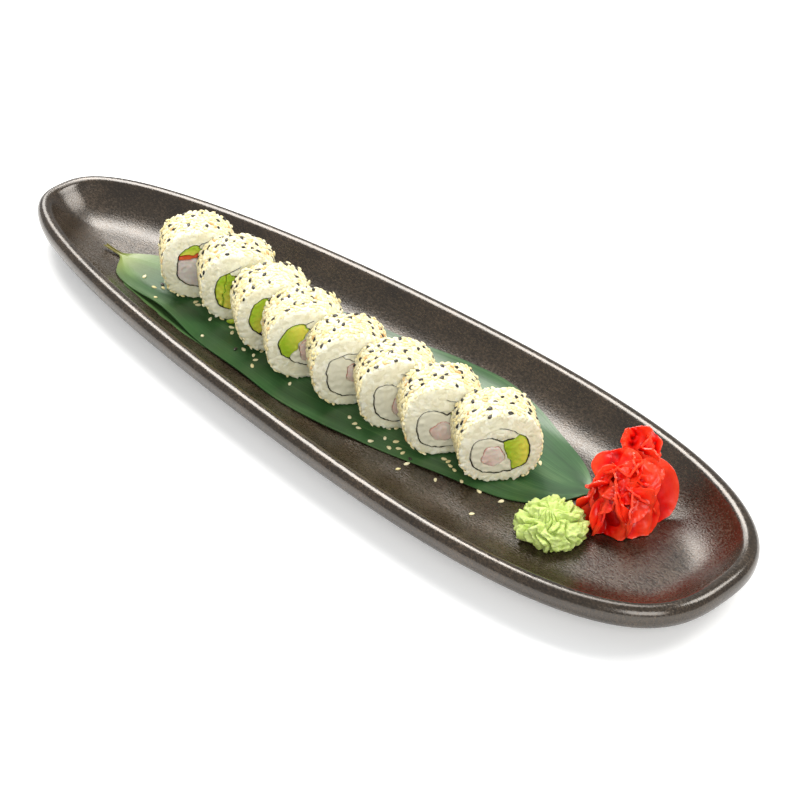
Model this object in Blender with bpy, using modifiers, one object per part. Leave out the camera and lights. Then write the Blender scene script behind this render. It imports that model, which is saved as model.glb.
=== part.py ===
"""Eight pieces of an inside-out sushi roll on a bamboo leaf, with wasabi and pickled ginger, in a long
egg-shaped stoneware dish.

Sizes in the tables are millimetres, and the scene is in metres. +X runs along the dish to its wide
end, +Z is up, and the origin is the middle of the dish's box on the table.
"""

import math
import random
from dataclasses import dataclass, field

import bmesh
import bpy
import numpy as np
from mathutils import Vector, noise

MM = 0.001
GAP = 0.3  # left between pieces that touch

# The dish: its outline runs along the crest of the rim
CREST_LENGTH = 485.6
NARROW_HALF_WIDTH = 48.7
WIDE_HALF_WIDTH = 81.2
TIP_POWER = 2.33
TIP_ROOT = 2.74
BOW = 3.6  # how far the middle line bends to the far side
CREST_HEIGHT = 26.0
LIP_RADIUS = 5.0
LIP_INNER_SLOPE = math.radians(51)
WALL_REACH = 26.0  # from the end of the lip to the flat floor
FLOOR_HEIGHT = 9.0
UNDERSIDE_HEIGHT = 3.0
FOOT_OUTSIDE = 17.5  # insets of the foot ring from the crest
FOOT_INSIDE = 23.0
DISH_POINTS = 52
END_CROWDING = 90.0  # mm of rim that one radian of turning counts as, where the rim's points are placed

# The leaf: its two edges from the stalk to the end by the ginger
LEAF_THICKNESS = 0.5
LEAF_NEAR_EDGE = (
    (-193.4, -14.2), (-184.7, -13), (-179.6, -13.7), (-172.4, -21.4), (-165, -27.4), (-152.6, -30.8),
    (-126, -32), (-109, -34.1), (-81.6, -37.3), (-47.4, -39.1), (-19.8, -40.6), (11.4, -38.6), (36, -34),
    (62, -28.5), (97, -21), (120, -14), (136, -3), (143, 10), (145, 17),
)
LEAF_FAR_EDGE = (
    (-193.7, -11.1), (-185, -10.5), (-180, -9), (-174, -3), (-164, 4), (-142, 13), (-118, 21), (-92.5, 28.3),
    (-62.8, 35.6), (-31, 41.7), (-1, 45.8), (29, 50.3), (56, 52.7), (82.5, 48.5), (103, 42.5), (120, 37),
    (132, 31), (140, 25), (145, 19),
)
LEAF_STATIONS = 24
LEAF_STRIPS = 4
STALK_LIFT = 1.2
EDGE_LIFT = 3.0  # where the near edge stands clear of the dish

# The pieces of roll
ROLL_BASE = FLOOR_HEIGHT + GAP + LEAF_THICKNESS + GAP
FACE_BEARING = -35.0  # degrees from +X to the way the cut faces look
RICE_POINTS = 22
RICE_SQUARENESS = 2.35
RIM_ROUNDING = 1.0
CORE_SQUARENESS = 2.6
NORI_THICKNESS = 0.7
NORI_STEPS = 16  # in one turn round the filling
DENT_CENTRE = 30.0  # degrees past the inner end of the nori
DENT_WIDTH = 38.0

# Sesame
SEED_LENGTH = 3.2
SEED_WIDTH = 2.0
SEED_THICKNESS = 1.3
SEEDS_A_ROLL = 12

# Wasabi and ginger
SCRAP_PLACE = (-86.5, -11.5)
WASABI_PLACE = (152.0, -17.0)
WASABI_RADIUS = 17.0
WASABI_HEIGHT = 13.5
GINGER_PLACE = (167.0, 14.0)
GINGER_BACK_PLACE = (166.0, 34.0)
SLICE_THICKNESS = 1.7


@dataclass(frozen=True)
class Filling:
    """One filling: the part of the core between cuts, each (bearing, low, high) from the core's middle."""

    name: str
    colour: tuple
    cuts: tuple = ()


AVOCADO = (0.42, 0.52, 0.07)
CREAM_CHEESE = (0.80, 0.77, 0.62)
SHRIMP = (0.66, 0.48, 0.40)
CRAB = (0.75, 0.16, 0.05)
FAR = 99.0


@dataclass(frozen=True)
class Roll:
    """One piece of roll: the foot of its front face, its turn, its size, and the core that the nori wraps."""

    place: tuple
    turn: float
    size: tuple  # width, height and thickness
    core: tuple  # middle across and up, half width, half height
    core_tilt: float
    start: float  # bearing of the nori's inner end
    dent: float  # how deep the flap of rice presses the core in
    overlap: float  # degrees that the nori runs on outside its inner end
    rise: float  # how far it climbs there, as a share of the core's radius
    mirrored: bool = False
    fillings: tuple = ()
    shrimp: tuple = ()  # a whole shrimp: place from the core's middle and half sizes


ROLLS = (
    Roll((-116.7, -7.3), -1, (40.5, 41.0, 23.4), (1.0, 20.5, 13.0, 13.0), 10, 88, 0.30, 26, 0.28, True,
         (Filling("shrimp", SHRIMP, ((95, -FAR, 5.0),)),
          Filling("crab", CRAB, ((95, 5.0, 7.6),)),
          Filling("avocado", AVOCADO, ((95, 7.6, FAR),)))),
    Roll((-85.7, -5.8), 0, (41.0, 40.0, 22.8), (0.5, 18.5, 13.5, 12.0), 0, 66, 0.30, 28, 0.20, True,
         (Filling("avocado_left", AVOCADO, ((172, 8.6, FAR),)),
          Filling("avocado_right", AVOCADO, ((172, 3.6, 8.6),)),
          Filling("crab", CRAB, ((172, -FAR, 3.6), (90, 2.0, FAR))),
          Filling("shrimp", SHRIMP, ((172, -FAR, 3.6), (90, -FAR, 2.0))))),
    Roll((-50.5, -11.2), 2, (41.0, 40.0, 24.0), (0.0, 20.3, 14.4, 11.6), 24, 74, 0.28, 24, 0.15, True,
         (Filling("avocado", AVOCADO, ((147, 2.5, FAR),)),
          Filling("shrimp", SHRIMP, ((147, -FAR, 2.5),)))),
    Roll((-21.2, -16.1), -1, (41.5, 40.5, 23.8), (0.5, 20.5, 14.6, 11.8), 24, 88, 0.28, 16, 0.24, True,
         (Filling("avocado", AVOCADO, ((147, 4.0, FAR),)),
          Filling("cream_cheese", CREAM_CHEESE, ((147, -FAR, 4.0),))),
         (2.0, -3.0, 6.6, 7.0)),
    Roll((12.5, -15.3), 0, (41.0, 40.5, 23.6), (0.0, 18.6, 13.2, 12.6), 0, 70, 0.34, 36, 0.05, True,
         (Filling("cream_cheese", CREAM_CHEESE),),
         (2.0, 1.2, 5.4, 5.6)),
    Roll((43.8, -12.3), -1, (41.0, 40.0, 22.8), (0.0, 18.0, 13.2, 12.8), 0, 58, 0.42, 30, 0.18, False,
         (Filling("cream_cheese", CREAM_CHEESE),),
         (1.6, -4.4, 5.8, 6.0)),
    Roll((74.6, -10.9), 0, (41.0, 40.0, 22.8), (0.0, 17.6, 14.4, 12.8), 0, 55, 0.50, 34, 0.20, False,
         (Filling("cream_cheese", CREAM_CHEESE, ((20, -FAR, 4.6),)),
          Filling("avocado", AVOCADO, ((20, 4.6, FAR),))),
         (-1.6, -3.2, 5.8, 5.6)),
    Roll((108.6, -6.9), 0, (41.0, 39.6, 23.8), (-0.5, 17.3, 14.6, 11.6), 4, 48, 0.44, 44, 0.30, False,
         (Filling("cream_cheese", CREAM_CHEESE, ((15, -FAR, 3.2),)),
          Filling("avocado", AVOCADO, ((15, 3.2, FAR),))),
         (-3.4, -1.6, 5.6, 5.8)),
)

LOOSE_SEEDS = (
    (-155, -13), (-141, -20), (-132, -25), (-98, -21), (-86, -31), (-62, -26), (-49, -33), (-24, -29), (30, -27),
    (47, -24), (59, -26), (80, -19), (98, -19), (114, 14),
)


@dataclass
class Mould:
    """What every piece is made with: the collection it goes in and the materials so far."""

    parts: bpy.types.Collection
    materials: dict = field(default_factory=dict)

    def material(self, name, colour, roughness, metallic=0.0):
        if name not in self.materials:
            made = bpy.data.materials.new(name)
            made.use_nodes = True
            shader = made.node_tree.nodes["Principled BSDF"]
            shader.inputs["Base Color"].default_value = (*colour, 1)
            shader.inputs["Roughness"].default_value = roughness
            shader.inputs["Metallic"].default_value = metallic
            self.materials[name] = made
        return self.materials[name]

    def add(self, name, mesh, material=None):
        made = bpy.data.objects.new(name, mesh)
        self.parts.objects.link(made)
        if material:
            mesh.materials.clear()
            mesh.materials.append(material)
        return made


def clear_scene():
    for obj in list(bpy.data.objects):
        bpy.data.objects.remove(obj, do_unlink=True)


def new_mould(title):
    parts = bpy.data.collections.new(title)
    bpy.context.scene.collection.children.link(parts)
    return Mould(parts)


def crest_points(bearings):
    """Points of the rim's crest. Bearing 0 is the wide tip and a quarter turn is the far side."""
    cosine = np.cos(bearings)
    share = (1 + cosine) / 2
    widening = NARROW_HALF_WIDTH + (WIDE_HALF_WIDTH - NARROW_HALF_WIDTH) * share
    half = widening * (1 - np.abs(cosine) ** TIP_POWER) ** (1 / TIP_ROOT)
    across = np.sign(np.sin(bearings)) * half + BOW * (1 - cosine**2)
    return np.stack([CREST_LENGTH * cosine / 2, across], axis=1)


CREST = crest_points(np.linspace(0, 2 * math.pi, 1440, endpoint=False))
CREST_MIDDLE = (CREST[:, 1].max() + CREST[:, 1].min()) / 2
CREST = CREST - np.array([0, CREST_MIDDLE])


def inset_at(x, y):
    """How far a place in the dish is from the crest."""
    return float(np.hypot(CREST[:, 0] - x, CREST[:, 1] - y).min())


def bowl_height(inset):
    """Height of the dish's upper surface at an inset from the crest."""
    lip_end = LIP_RADIUS * math.sin(LIP_INNER_SLOPE)
    lip_low = CREST_HEIGHT - LIP_RADIUS + LIP_RADIUS * math.cos(LIP_INNER_SLOPE)
    if inset <= lip_end:
        return CREST_HEIGHT - LIP_RADIUS + math.sqrt(LIP_RADIUS**2 - inset**2)
    power = math.tan(LIP_INNER_SLOPE) * WALL_REACH / (lip_low - FLOOR_HEIGHT)
    share = min((inset - lip_end) / WALL_REACH, 1.0)
    return FLOOR_HEIGHT + (lip_low - FLOOR_HEIGHT) * (1 - share) ** power


def dish_profile():
    """(inset, height) of the dish's section, from the floor out over the lip and under to the foot."""
    lip_end = LIP_RADIUS * math.sin(LIP_INNER_SLOPE)
    wall = [lip_end + WALL_REACH * share for share in (1.0, 0.66, 0.4, 0.18)]
    section = [(inset, bowl_height(inset)) for inset in wall]
    centre = CREST_HEIGHT - LIP_RADIUS
    for degrees in (51, 20, -12, -48, -85):
        turn = math.radians(degrees)
        section.append((LIP_RADIUS * math.sin(turn), centre + LIP_RADIUS * math.cos(turn)))
    section += [(-4.2, 17.0), (-1.8, 13.6), (4.0, 9.7), (FOOT_OUTSIDE - 2.2, 3.8)]
    section += [(FOOT_OUTSIDE, 0.0), (FOOT_INSIDE, 0.0), (FOOT_INSIDE + 1.6, UNDERSIDE_HEIGHT)]
    return section


def ring_point(bearing, inset):
    """The place at an inset, on the line from the crest to the dish's middle line."""
    crest = crest_points(np.array([bearing]))[0] - np.array([0, CREST_MIDDLE])
    half = CREST_LENGTH / 2
    spine_x = min(max(crest[0], 44 - half), half - 78)
    spine = np.array([spine_x, BOW * (1 - (spine_x / half) ** 2) - CREST_MIDDLE])
    inward = spine - crest
    reach = float(np.hypot(*inward))
    inward = inward / reach
    if inset <= 0:
        return crest + inward * inset
    low, high = 0.0, reach
    for _ in range(24):
        middle = (low + high) / 2
        place = crest + inward * middle
        if inset_at(place[0], place[1]) < inset:
            low = middle
        else:
            high = middle
    return crest + inward * low


def ring_bearings(count):
    """Bearings of crest points along the rim, closer together where it turns more."""
    closed = np.vstack([CREST, CREST[:2]])
    sides = np.diff(closed, axis=0)
    lengths = np.hypot(*sides.T)
    heading = np.unwrap(np.arctan2(sides[:, 1], sides[:, 0]))
    steps = lengths[:-1] + END_CROWDING * np.abs(np.diff(heading))
    along = np.concatenate([[0], np.cumsum(steps)])
    wanted = np.linspace(0, along[-1], count, endpoint=False)
    return np.interp(wanted, along, np.linspace(0, 2 * math.pi, len(along)))


def build_dish(mould):
    """A loft of egg-shaped rings, closed by the flat floor and the flat underside."""
    shape = bmesh.new()
    bearings = ring_bearings(DISH_POINTS)
    rings = []
    for inset, height in dish_profile():
        ring = [shape.verts.new((*(ring_point(bearing, inset) * MM), height * MM)) for bearing in bearings]
        edges = [shape.edges.new((ring[k - 1], ring[k])) for k in range(len(ring))]
        rings.append((ring, edges))
    for (_, inner), (_, outer) in zip(rings, rings[1:]):
        bmesh.ops.bridge_loops(shape, edges=inner + outer)
    shape.faces.new(rings[0][0])
    shape.faces.new(rings[-1][0])
    return finish(mould, "plate", shape, mould.material("stoneware", (0.05, 0.036, 0.026), 0.35, 0.3))


def finish(mould, name, shape, material):
    """Closes a bmesh into an object: faces out, split into triangles, shaded smooth with sharp edges kept."""
    bmesh.ops.recalc_face_normals(shape, faces=shape.faces)
    bmesh.ops.triangulate(shape, faces=shape.faces)
    mesh = bpy.data.meshes.new(name)
    shape.to_mesh(mesh)
    shape.free()
    smooth(mesh)
    return mould.add(name, mesh, material)


def smooth(mesh):
    mesh.shade_smooth()
    mesh.set_sharp_from_angle(angle=math.radians(40))


def along_edge(edge, share):
    """A point at a share of an edge's list, rounded between its points."""
    spot = share * (len(edge) - 1)
    k = min(int(spot), len(edge) - 2)
    t = spot - k
    before, a, b, after = (Vector(edge[min(max(k + j, 0), len(edge) - 1)]) for j in (-1, 0, 1, 2))
    pull = (b - before) / 2
    push = (after - a) / 2
    return (
        a * (2 * t**3 - 3 * t**2 + 1)
        + pull * (t**3 - 2 * t**2 + t)
        + b * (3 * t**2 - 2 * t**3)
        + push * (t**3 - t**2)
    )


def leaf_lift(x, share_across):
    """How far the leaf stands clear of the dish: the stalk curls up and part of the near edge lifts."""
    stalk = STALK_LIFT * max(0.0, (-176 - x) / 16) ** 1.5
    near = max(0.0, 1 - share_across * 4)
    lifted = EDGE_LIFT * near * math.exp(-(((x + 116) / 22) ** 2))
    far = max(0.0, share_across * 4 - 3)
    ripple = 0.5 * (near + far) * (1 + math.sin(x / 11))
    return stalk + lifted + ripple


def top_of(obj, x, y):
    """Height of an object's upper face at a place, found from straight above, in millimetres."""
    hit, place, _, _ = obj.ray_cast(Vector((x * MM, y * MM, 1.0)), Vector((0, 0, -1)))
    return place.z / MM if hit else None


def evaluated_copy(obj):
    """The object's shape with its modifiers, as a new mesh."""
    graph = bpy.context.evaluated_depsgraph_get()
    graph.update()
    return bpy.data.meshes.new_from_object(obj.evaluated_get(graph))


def apply_modifiers(obj):
    mesh = evaluated_copy(obj)
    obj.modifiers.clear()
    obj.data = mesh
    keep_largest(mesh)


def keep_largest(mesh):
    """Drops the loose scraps that a cut leaves."""
    shape = bmesh.new()
    shape.from_mesh(mesh)
    bmesh.ops.remove_doubles(shape, verts=shape.verts, dist=0.002 * MM)
    left = set(shape.verts)
    islands = []
    while left:
        island = {left.pop()}
        edge_of_search = list(island)
        while edge_of_search:
            vertex = edge_of_search.pop()
            for link in vertex.link_edges:
                other = link.other_vert(vertex)
                if other in left:
                    left.discard(other)
                    island.add(other)
                    edge_of_search.append(other)
        islands.append(island)
    islands.sort(key=len)
    scraps = [vertex for island in islands[:-1] for vertex in island]
    bmesh.ops.delete(shape, geom=scraps, context="VERTS")
    bmesh.ops.triangulate(shape, faces=shape.faces)
    shape.to_mesh(mesh)
    shape.free()


def boolean(obj, operation, others, solver="EXACT"):
    """Cuts or joins the object with others, which are used up."""
    work = bpy.data.collections.new("operands")
    bpy.context.scene.collection.children.link(work)
    for other in others:
        for collection in list(other.users_collection):
            collection.objects.unlink(other)
        work.objects.link(other)
    step = obj.modifiers.new(operation.lower(), "BOOLEAN")
    step.operation = operation
    step.operand_type = "COLLECTION"
    step.collection = work
    step.solver = solver
    bpy.context.view_layer.update()
    apply_modifiers(obj)
    for other in others:
        bpy.data.objects.remove(other)
    bpy.data.collections.remove(work)


def thicken(obj, thickness, offset):
    solid = obj.modifiers.new("thickness", "SOLIDIFY")
    solid.thickness = thickness * MM
    solid.offset = offset


def take_active(mould, name, material):
    """Moves the primitive just added into the parts, under its own name."""
    made = bpy.context.object
    for collection in list(made.users_collection):
        collection.objects.unlink(made)
    mould.parts.objects.link(made)
    made.name = name
    made.data.name = name
    made.data.materials.clear()
    made.data.materials.append(material)
    return made


def add_seed(mould, place, normal, heading, sink=0.3):
    """One sesame seed lying on a surface, sunk into it by a share of its thickness. Place is in metres."""
    bpy.ops.mesh.primitive_ico_sphere_add(subdivisions=1, radius=1)
    seed = take_active(mould, "seed", mould.material("sesame", (0.80, 0.70, 0.42), 0.5))
    up = Vector(normal).normalized()
    side = up.orthogonal().normalized()
    along = side * math.cos(heading) + up.cross(side) * math.sin(heading)
    axes = (along * SEED_LENGTH / 2, up.cross(along) * SEED_WIDTH / 2, up * SEED_THICKNESS / 2)
    rise = up * SEED_THICKNESS * (0.5 - sink)
    for vertex in seed.data.vertices:
        x, y, z = vertex.co
        vertex.co = Vector(place) + (axes[0] * x + axes[1] * y + axes[2] * z + rise) * MM
    return seed


def build_leaf(mould, dish, dice):
    """The leaf's lower face as a grid between its edges, thickened upwards, with fallen seeds on it."""
    bpy.ops.mesh.primitive_grid_add(x_subdivisions=LEAF_STATIONS, y_subdivisions=LEAF_STRIPS, size=1)
    leaf = take_active(mould, "leaf", mould.material("leaf", (0.05, 0.13, 0.04), 0.4))
    for vertex in leaf.data.vertices:
        along, across = vertex.co.x + 0.5, vertex.co.y + 0.5
        near = along_edge(LEAF_NEAR_EDGE, along)
        far = along_edge(LEAF_FAR_EDGE, along)
        place = near.lerp(far, across)
        height = top_of(dish, place.x, place.y) + GAP + leaf_lift(place.x, across)
        vertex.co = Vector((place.x, place.y, height)) * MM
    shape = bmesh.new()
    shape.from_mesh(leaf.data)
    bmesh.ops.triangulate(shape, faces=shape.faces)
    shape.to_mesh(leaf.data)
    shape.free()
    thicken(leaf, LEAF_THICKNESS, 1)
    apply_modifiers(leaf)
    seeds = []
    for x, y in LOOSE_SEEDS:
        place = Vector((x, y, top_of(leaf, x, y))) * MM
        seeds.append(add_seed(mould, place, (0, 0, 1), dice.uniform(0, math.pi)))
    boolean(leaf, "UNION", seeds)
    smooth(leaf.data)
    return leaf


def prism(mould, name, outline, front, back, material, rounding=0.0):
    """A closed outline in the cut face, extruded between two depths, as a mesh."""
    curve = bpy.data.curves.new(name, "CURVE")
    curve.dimensions = "2D"
    curve.fill_mode = "BOTH"
    curve.extrude = ((front - back) / 2 - rounding) * MM
    if rounding:
        curve.bevel_depth = rounding * MM
        curve.bevel_resolution = 0
        curve.offset = -rounding * MM
    spline = curve.splines.new("POLY")
    spline.points.add(len(outline) - 1)
    for point, (across, up) in zip(spline.points, outline):
        point.co = (across * MM, up * MM, 0, 1)
    spline.use_cyclic_u = True
    guide = bpy.data.objects.new(name, curve)
    mould.parts.objects.link(guide)
    mesh = evaluated_copy(guide)
    bpy.data.objects.remove(guide)
    shape = bmesh.new()
    shape.from_mesh(mesh)
    bmesh.ops.remove_doubles(shape, verts=shape.verts, dist=0.002 * MM)
    bmesh.ops.translate(shape, verts=shape.verts, vec=(0, 0, (front + back) / 2 * MM))
    bmesh.ops.recalc_face_normals(shape, faces=shape.faces)
    shape.to_mesh(mesh)
    shape.free()
    return mould.add(name, mesh, material)


def oval_radius(half_width, half_height, squareness, bearing):
    across = abs(math.cos(bearing) / half_width) ** squareness
    up = abs(math.sin(bearing) / half_height) ** squareness
    return (across + up) ** (-1 / squareness)


def rice_outline(roll, number):
    """The outside of one piece in its cut face: a squarish round, flat where it stands, with soft lumps."""
    width, height, _ = roll.size
    half_height = height / 2 + 0.4
    outline = []
    for k in range(RICE_POINTS):
        bearing = 2 * math.pi * (k + 0.5) / RICE_POINTS
        radius = oval_radius(width / 2, half_height, RICE_SQUARENESS, bearing)
        radius += 0.45 * noise.noise(Vector((2.2 * math.cos(bearing), 2.2 * math.sin(bearing), 5.0 * number)))
        across, up = radius * math.cos(bearing), radius * math.sin(bearing) + height / 2
        outline.append((across, max(up, 0.0)))
    return outline


def nori_point(roll, turned):
    """A place on the nori's middle line, from the core's middle, after so many degrees from its inner end."""
    bearing = math.radians(roll.start + turned)
    radius = oval_radius(roll.core[2], roll.core[3], CORE_SQUARENESS, bearing - math.radians(roll.core_tilt))
    if turned <= 360:
        radius *= 1 - roll.dent * math.exp(-(((turned - DENT_CENTRE) / DENT_WIDTH) ** 2))
    else:
        radius *= 1 + roll.rise * (turned - 360) / roll.overlap
    return Vector((radius * math.cos(bearing), radius * math.sin(bearing)))


def beside_nori(roll, turned, distance):
    """The place at a distance outside the nori's middle line."""
    step = 2.0
    last = 360 + roll.overlap
    before = nori_point(roll, max(turned - step, 0) if turned <= 360 else turned - step)
    after = nori_point(roll, min(turned + step, last))
    along = (after - before).normalized()
    return nori_point(roll, turned) + Vector((along.y, -along.x)) * distance


def in_face(roll, points):
    """Turns places measured from the core's middle into places in the cut face."""
    side = -1 if roll.mirrored else 1
    return [(roll.core[0] + side * point.x, roll.core[1] + point.y) for point in points]


def nori_turns(roll):
    turn = [360 * k / NORI_STEPS for k in range(NORI_STEPS + 1)]
    tail_steps = max(2, round(roll.overlap * NORI_STEPS / 360))
    return turn, [360 + roll.overlap * (k + 1) / tail_steps for k in range(tail_steps)]


def nori_outline(roll):
    turn, tail = nori_turns(roll)
    half = NORI_THICKNESS / 2
    outer = [beside_nori(roll, turned, half) for turned in turn + tail]
    inner = [beside_nori(roll, turned, -half) for turned in turn + tail]
    return in_face(roll, outer + inner[::-1])


def hole_outline(roll):
    """What the rice leaves free: the core with the nori round it and the slot of the nori's tail."""
    turn, tail = nori_turns(roll)
    clear = NORI_THICKNESS / 2 + GAP
    outer = [beside_nori(roll, turned, clear) for turned in turn + tail]
    inner = [beside_nori(roll, turned, -clear) for turned in [360] + tail]
    for side in (outer, inner):
        side.append(side[-1] + (side[-1] - side[-2]).normalized() * 2 * GAP)
    return in_face(roll, outer + inner[::-1])


def core_outline(roll):
    """The room inside the nori. It ends a little before the nori's inner end."""
    turn, _ = nori_turns(roll)
    clear = NORI_THICKNESS / 2 + GAP
    points = [beside_nori(roll, turned, -clear) for turned in turn]
    points[-1] = points[-2].lerp(points[-1], 0.75)
    along = (nori_point(roll, 2) - nori_point(roll, 0)).normalized()
    points += [beside_nori(roll, 0, side) - along * 2 * GAP for side in (clear, -clear)]
    return in_face(roll, points)


def clip(outline, middle, bearing, limit, keep_below):
    """Keeps the part of an outline on one side of a straight cut."""
    normal = Vector((math.cos(math.radians(bearing)), math.sin(math.radians(bearing))))
    sign = 1 if keep_below else -1
    depth = [sign * (limit - (Vector(point) - middle).dot(normal)) for point in outline]
    kept = []
    for k, point in enumerate(outline):
        last, last_depth = outline[k - 1], depth[k - 1]
        if (depth[k] >= 0) != (last_depth >= 0):
            share = last_depth / (last_depth - depth[k])
            kept.append(tuple(Vector(last).lerp(Vector(point), share)))
        if depth[k] >= 0:
            kept.append(point)
    return kept


def filling_outline(roll, filling):
    outline = core_outline(roll)
    middle = Vector(roll.core[:2])
    for bearing, low, high in filling.cuts:
        if high < FAR:
            outline = clip(outline, middle, bearing, high - GAP / 2, True)
        if low > -FAR:
            outline = clip(outline, middle, bearing, low + GAP / 2, False)
    return outline


def shrimp_outline(roll, clear=0.0):
    across, up, half_width, half_height = roll.shrimp
    points = []
    for k in range(14):
        bearing = 2 * math.pi * k / 14
        bump = 1 + 0.06 * math.sin(3 * bearing + across)
        points.append(
            (
                roll.core[0] + across + (half_width * bump + clear) * math.cos(bearing),
                roll.core[1] + up + (half_height * bump + clear) * math.sin(bearing),
            )
        )
    return points


def build_roll(mould, number, roll, dice):
    """One piece of roll under an empty at the foot of its front face; its own Z points out of that face."""
    title = f"roll_{number}"
    holder = bpy.data.objects.new(title + "_place", None)
    mould.parts.objects.link(holder)
    holder.location = (roll.place[0] * MM, roll.place[1] * MM, ROLL_BASE * MM)
    holder.rotation_euler = (math.radians(90), 0, math.radians(90 + FACE_BEARING + roll.turn))
    thickness = roll.size[2]
    pieces = [build_rice(mould, title, number, roll, dice)]
    nori = mould.material("nori", (0.012, 0.018, 0.008), 0.6)
    pieces.append(prism(mould, title + "_nori", nori_outline(roll), -0.2, 0.2 - thickness, nori))
    for filling in roll.fillings:
        material = mould.material(filling.name.split("_")[0], filling.colour, 0.4)
        outline = filling_outline(roll, filling)
        piece = prism(mould, f"{title}_{filling.name}", outline, 0.1, -0.1 - thickness, material)
        if roll.shrimp:
            cutter = prism(mould, "cutter", shrimp_outline(roll, GAP), 1.0, -1.0 - thickness, material)
            boolean(piece, "DIFFERENCE", [cutter])
        pieces.append(piece)
    if roll.shrimp:
        material = mould.material("shrimp", SHRIMP, 0.4)
        pieces.append(prism(mould, title + "_shrimp", shrimp_outline(roll), 0.3, -0.3 - thickness, material))
    for piece in pieces:
        smooth(piece.data)
        piece.parent = holder


def build_rice(mould, title, number, roll, dice):
    """The rice: a rounded block with the core's hole through it and sesame seeds set into its outside."""
    thickness = roll.size[2]
    material = mould.material("rice", (0.80, 0.78, 0.62), 0.5)
    outline = rice_outline(roll, number)
    rice = prism(mould, title + "_rice", outline, 0.0, -thickness, material, RIM_ROUNDING)
    cutter = prism(mould, "cutter", hole_outline(roll), 1.0, -1.0 - thickness, material)
    boolean(rice, "DIFFERENCE", [cutter])
    golden = (math.sqrt(5) - 1) / 2
    seeds = []
    for k in range(SEEDS_A_ROLL):
        bearing = math.radians(-30 + 240 * (k + 0.5) / SEEDS_A_ROLL + dice.uniform(-4, 4))
        depth = 3.0 + (thickness - 6.0) * ((k * golden + 0.3 * number) % 1)
        middle = roll.size[1] / 2
        radius = oval_radius(roll.size[0] / 2, middle + 0.4, RICE_SQUARENESS, bearing)
        place = Vector((radius * math.cos(bearing), middle + radius * math.sin(bearing), -depth)) * MM
        _, surface, normal, _ = rice.closest_point_on_mesh(place)
        seeds.append(add_seed(mould, surface, normal, dice.uniform(0, math.pi)))
    boolean(rice, "UNION", seeds)
    return rice


def build_scrap(mould, leaf):
    """A bit of avocado that fell between the second and the third piece."""
    bpy.ops.mesh.primitive_uv_sphere_add(segments=10, ring_count=6, radius=1)
    scrap = take_active(mould, "avocado_scrap", mould.material("avocado", AVOCADO, 0.4))
    length, width, height = 3.0, 1.3, 1.3
    for vertex in scrap.data.vertices:
        x, y, z = vertex.co
        bend = 0.8 * x * x
        vertex.co = Vector((x * length, y * width + bend, z * height)) * MM
    x, y = SCRAP_PLACE
    scrap.location = Vector((x, y, top_of(leaf, x, y) + GAP + height)) * MM
    scrap.rotation_euler = (0, 0, math.radians(90 + FACE_BEARING))
    lift_clear(scrap, leaf)
    smooth(scrap.data)


def build_wasabi(mould):
    """A piped-looking mound with deep folds that run out from its top."""
    bpy.ops.mesh.primitive_uv_sphere_add(segments=30, ring_count=12, radius=1)
    wasabi = take_active(mould, "wasabi", mould.material("wasabi", (0.50, 0.62, 0.20), 0.6))
    for vertex in wasabi.data.vertices:
        x, y, z = vertex.co
        bearing = math.atan2(y, x)
        out = math.hypot(x, y)
        fold = 0.10 * math.sin(9 * bearing + 3.0 * z) + 0.06 * math.sin(14 * bearing - 4.0 * z + 1.0)
        lump = 0.10 * noise.noise(Vector((2.5 * x, 2.5 * y, 2.5 * z)))
        swell = 1 + fold * min(1.0, 1.6 * out) + lump
        height = (z + 0.45) / 1.45 * WASABI_HEIGHT * (1 + lump + 0.5 * fold * out)
        vertex.co = Vector((x * WASABI_RADIUS * swell, y * WASABI_RADIUS * swell, max(height, 0.0))) * MM
    wasabi.location = (WASABI_PLACE[0] * MM, WASABI_PLACE[1] * MM, (FLOOR_HEIGHT + GAP) * MM)
    flatten_base(wasabi)
    smooth(wasabi.data)


def flatten_base(obj):
    """Merges the points that the flat base brought together."""
    shape = bmesh.new()
    shape.from_mesh(obj.data)
    base = [face for face in shape.faces if all(vertex.co.z < 0.01 * MM for vertex in face.verts)]
    bmesh.ops.dissolve_faces(shape, faces=base)
    bmesh.ops.triangulate(shape, faces=shape.faces)
    shape.to_mesh(obj.data)
    shape.free()


@dataclass(frozen=True)
class Slice:
    """One thin slice of ginger: its place, its turns and how it is folded."""

    place: tuple
    turns: tuple
    size: tuple
    folds: float
    depth: float
    curl: float


GINGER_SLICES = (
    Slice((173.5, 4.0, 21.0), (72, 0, 38), (20, 24), 1.5, 3.2, 0.25),
    Slice((180.0, 12.0, 20.5), (74, 0, 72), (19, 23), 1.2, 3.0, 0.35),
    Slice((160.5, 6.5, 25.5), (66, 10, -12), (18, 24), 1.6, 3.0, 0.3),
    Slice((168.0, 13.0, 36.5), (28, -12, 30), (24, 20), 1.4, 3.2, 0.4),
    Slice((176.5, 34.0, 25.0), (68, 0, 76), (26, 31), 0.6, 1.6, 0.2),
    Slice((160.0, 35.0, 39.5), (48, 10, 40), (21, 16), 1.3, 2.8, 0.45),
    Slice((172.0, 24.0, 34.0), (40, 20, 70), (20, 18), 1.4, 3.0, 0.4),
)


def lift_clear(obj, dish):
    """Raises the points that would sink into the dish until they lie just above it."""
    bpy.context.view_layer.update()
    for vertex in obj.data.vertices:
        place = obj.matrix_world @ vertex.co / MM
        place.z = max(place.z, top_of(dish, place.x, place.y) + GAP)
        vertex.co = obj.matrix_world.inverted() @ (place * MM)


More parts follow.
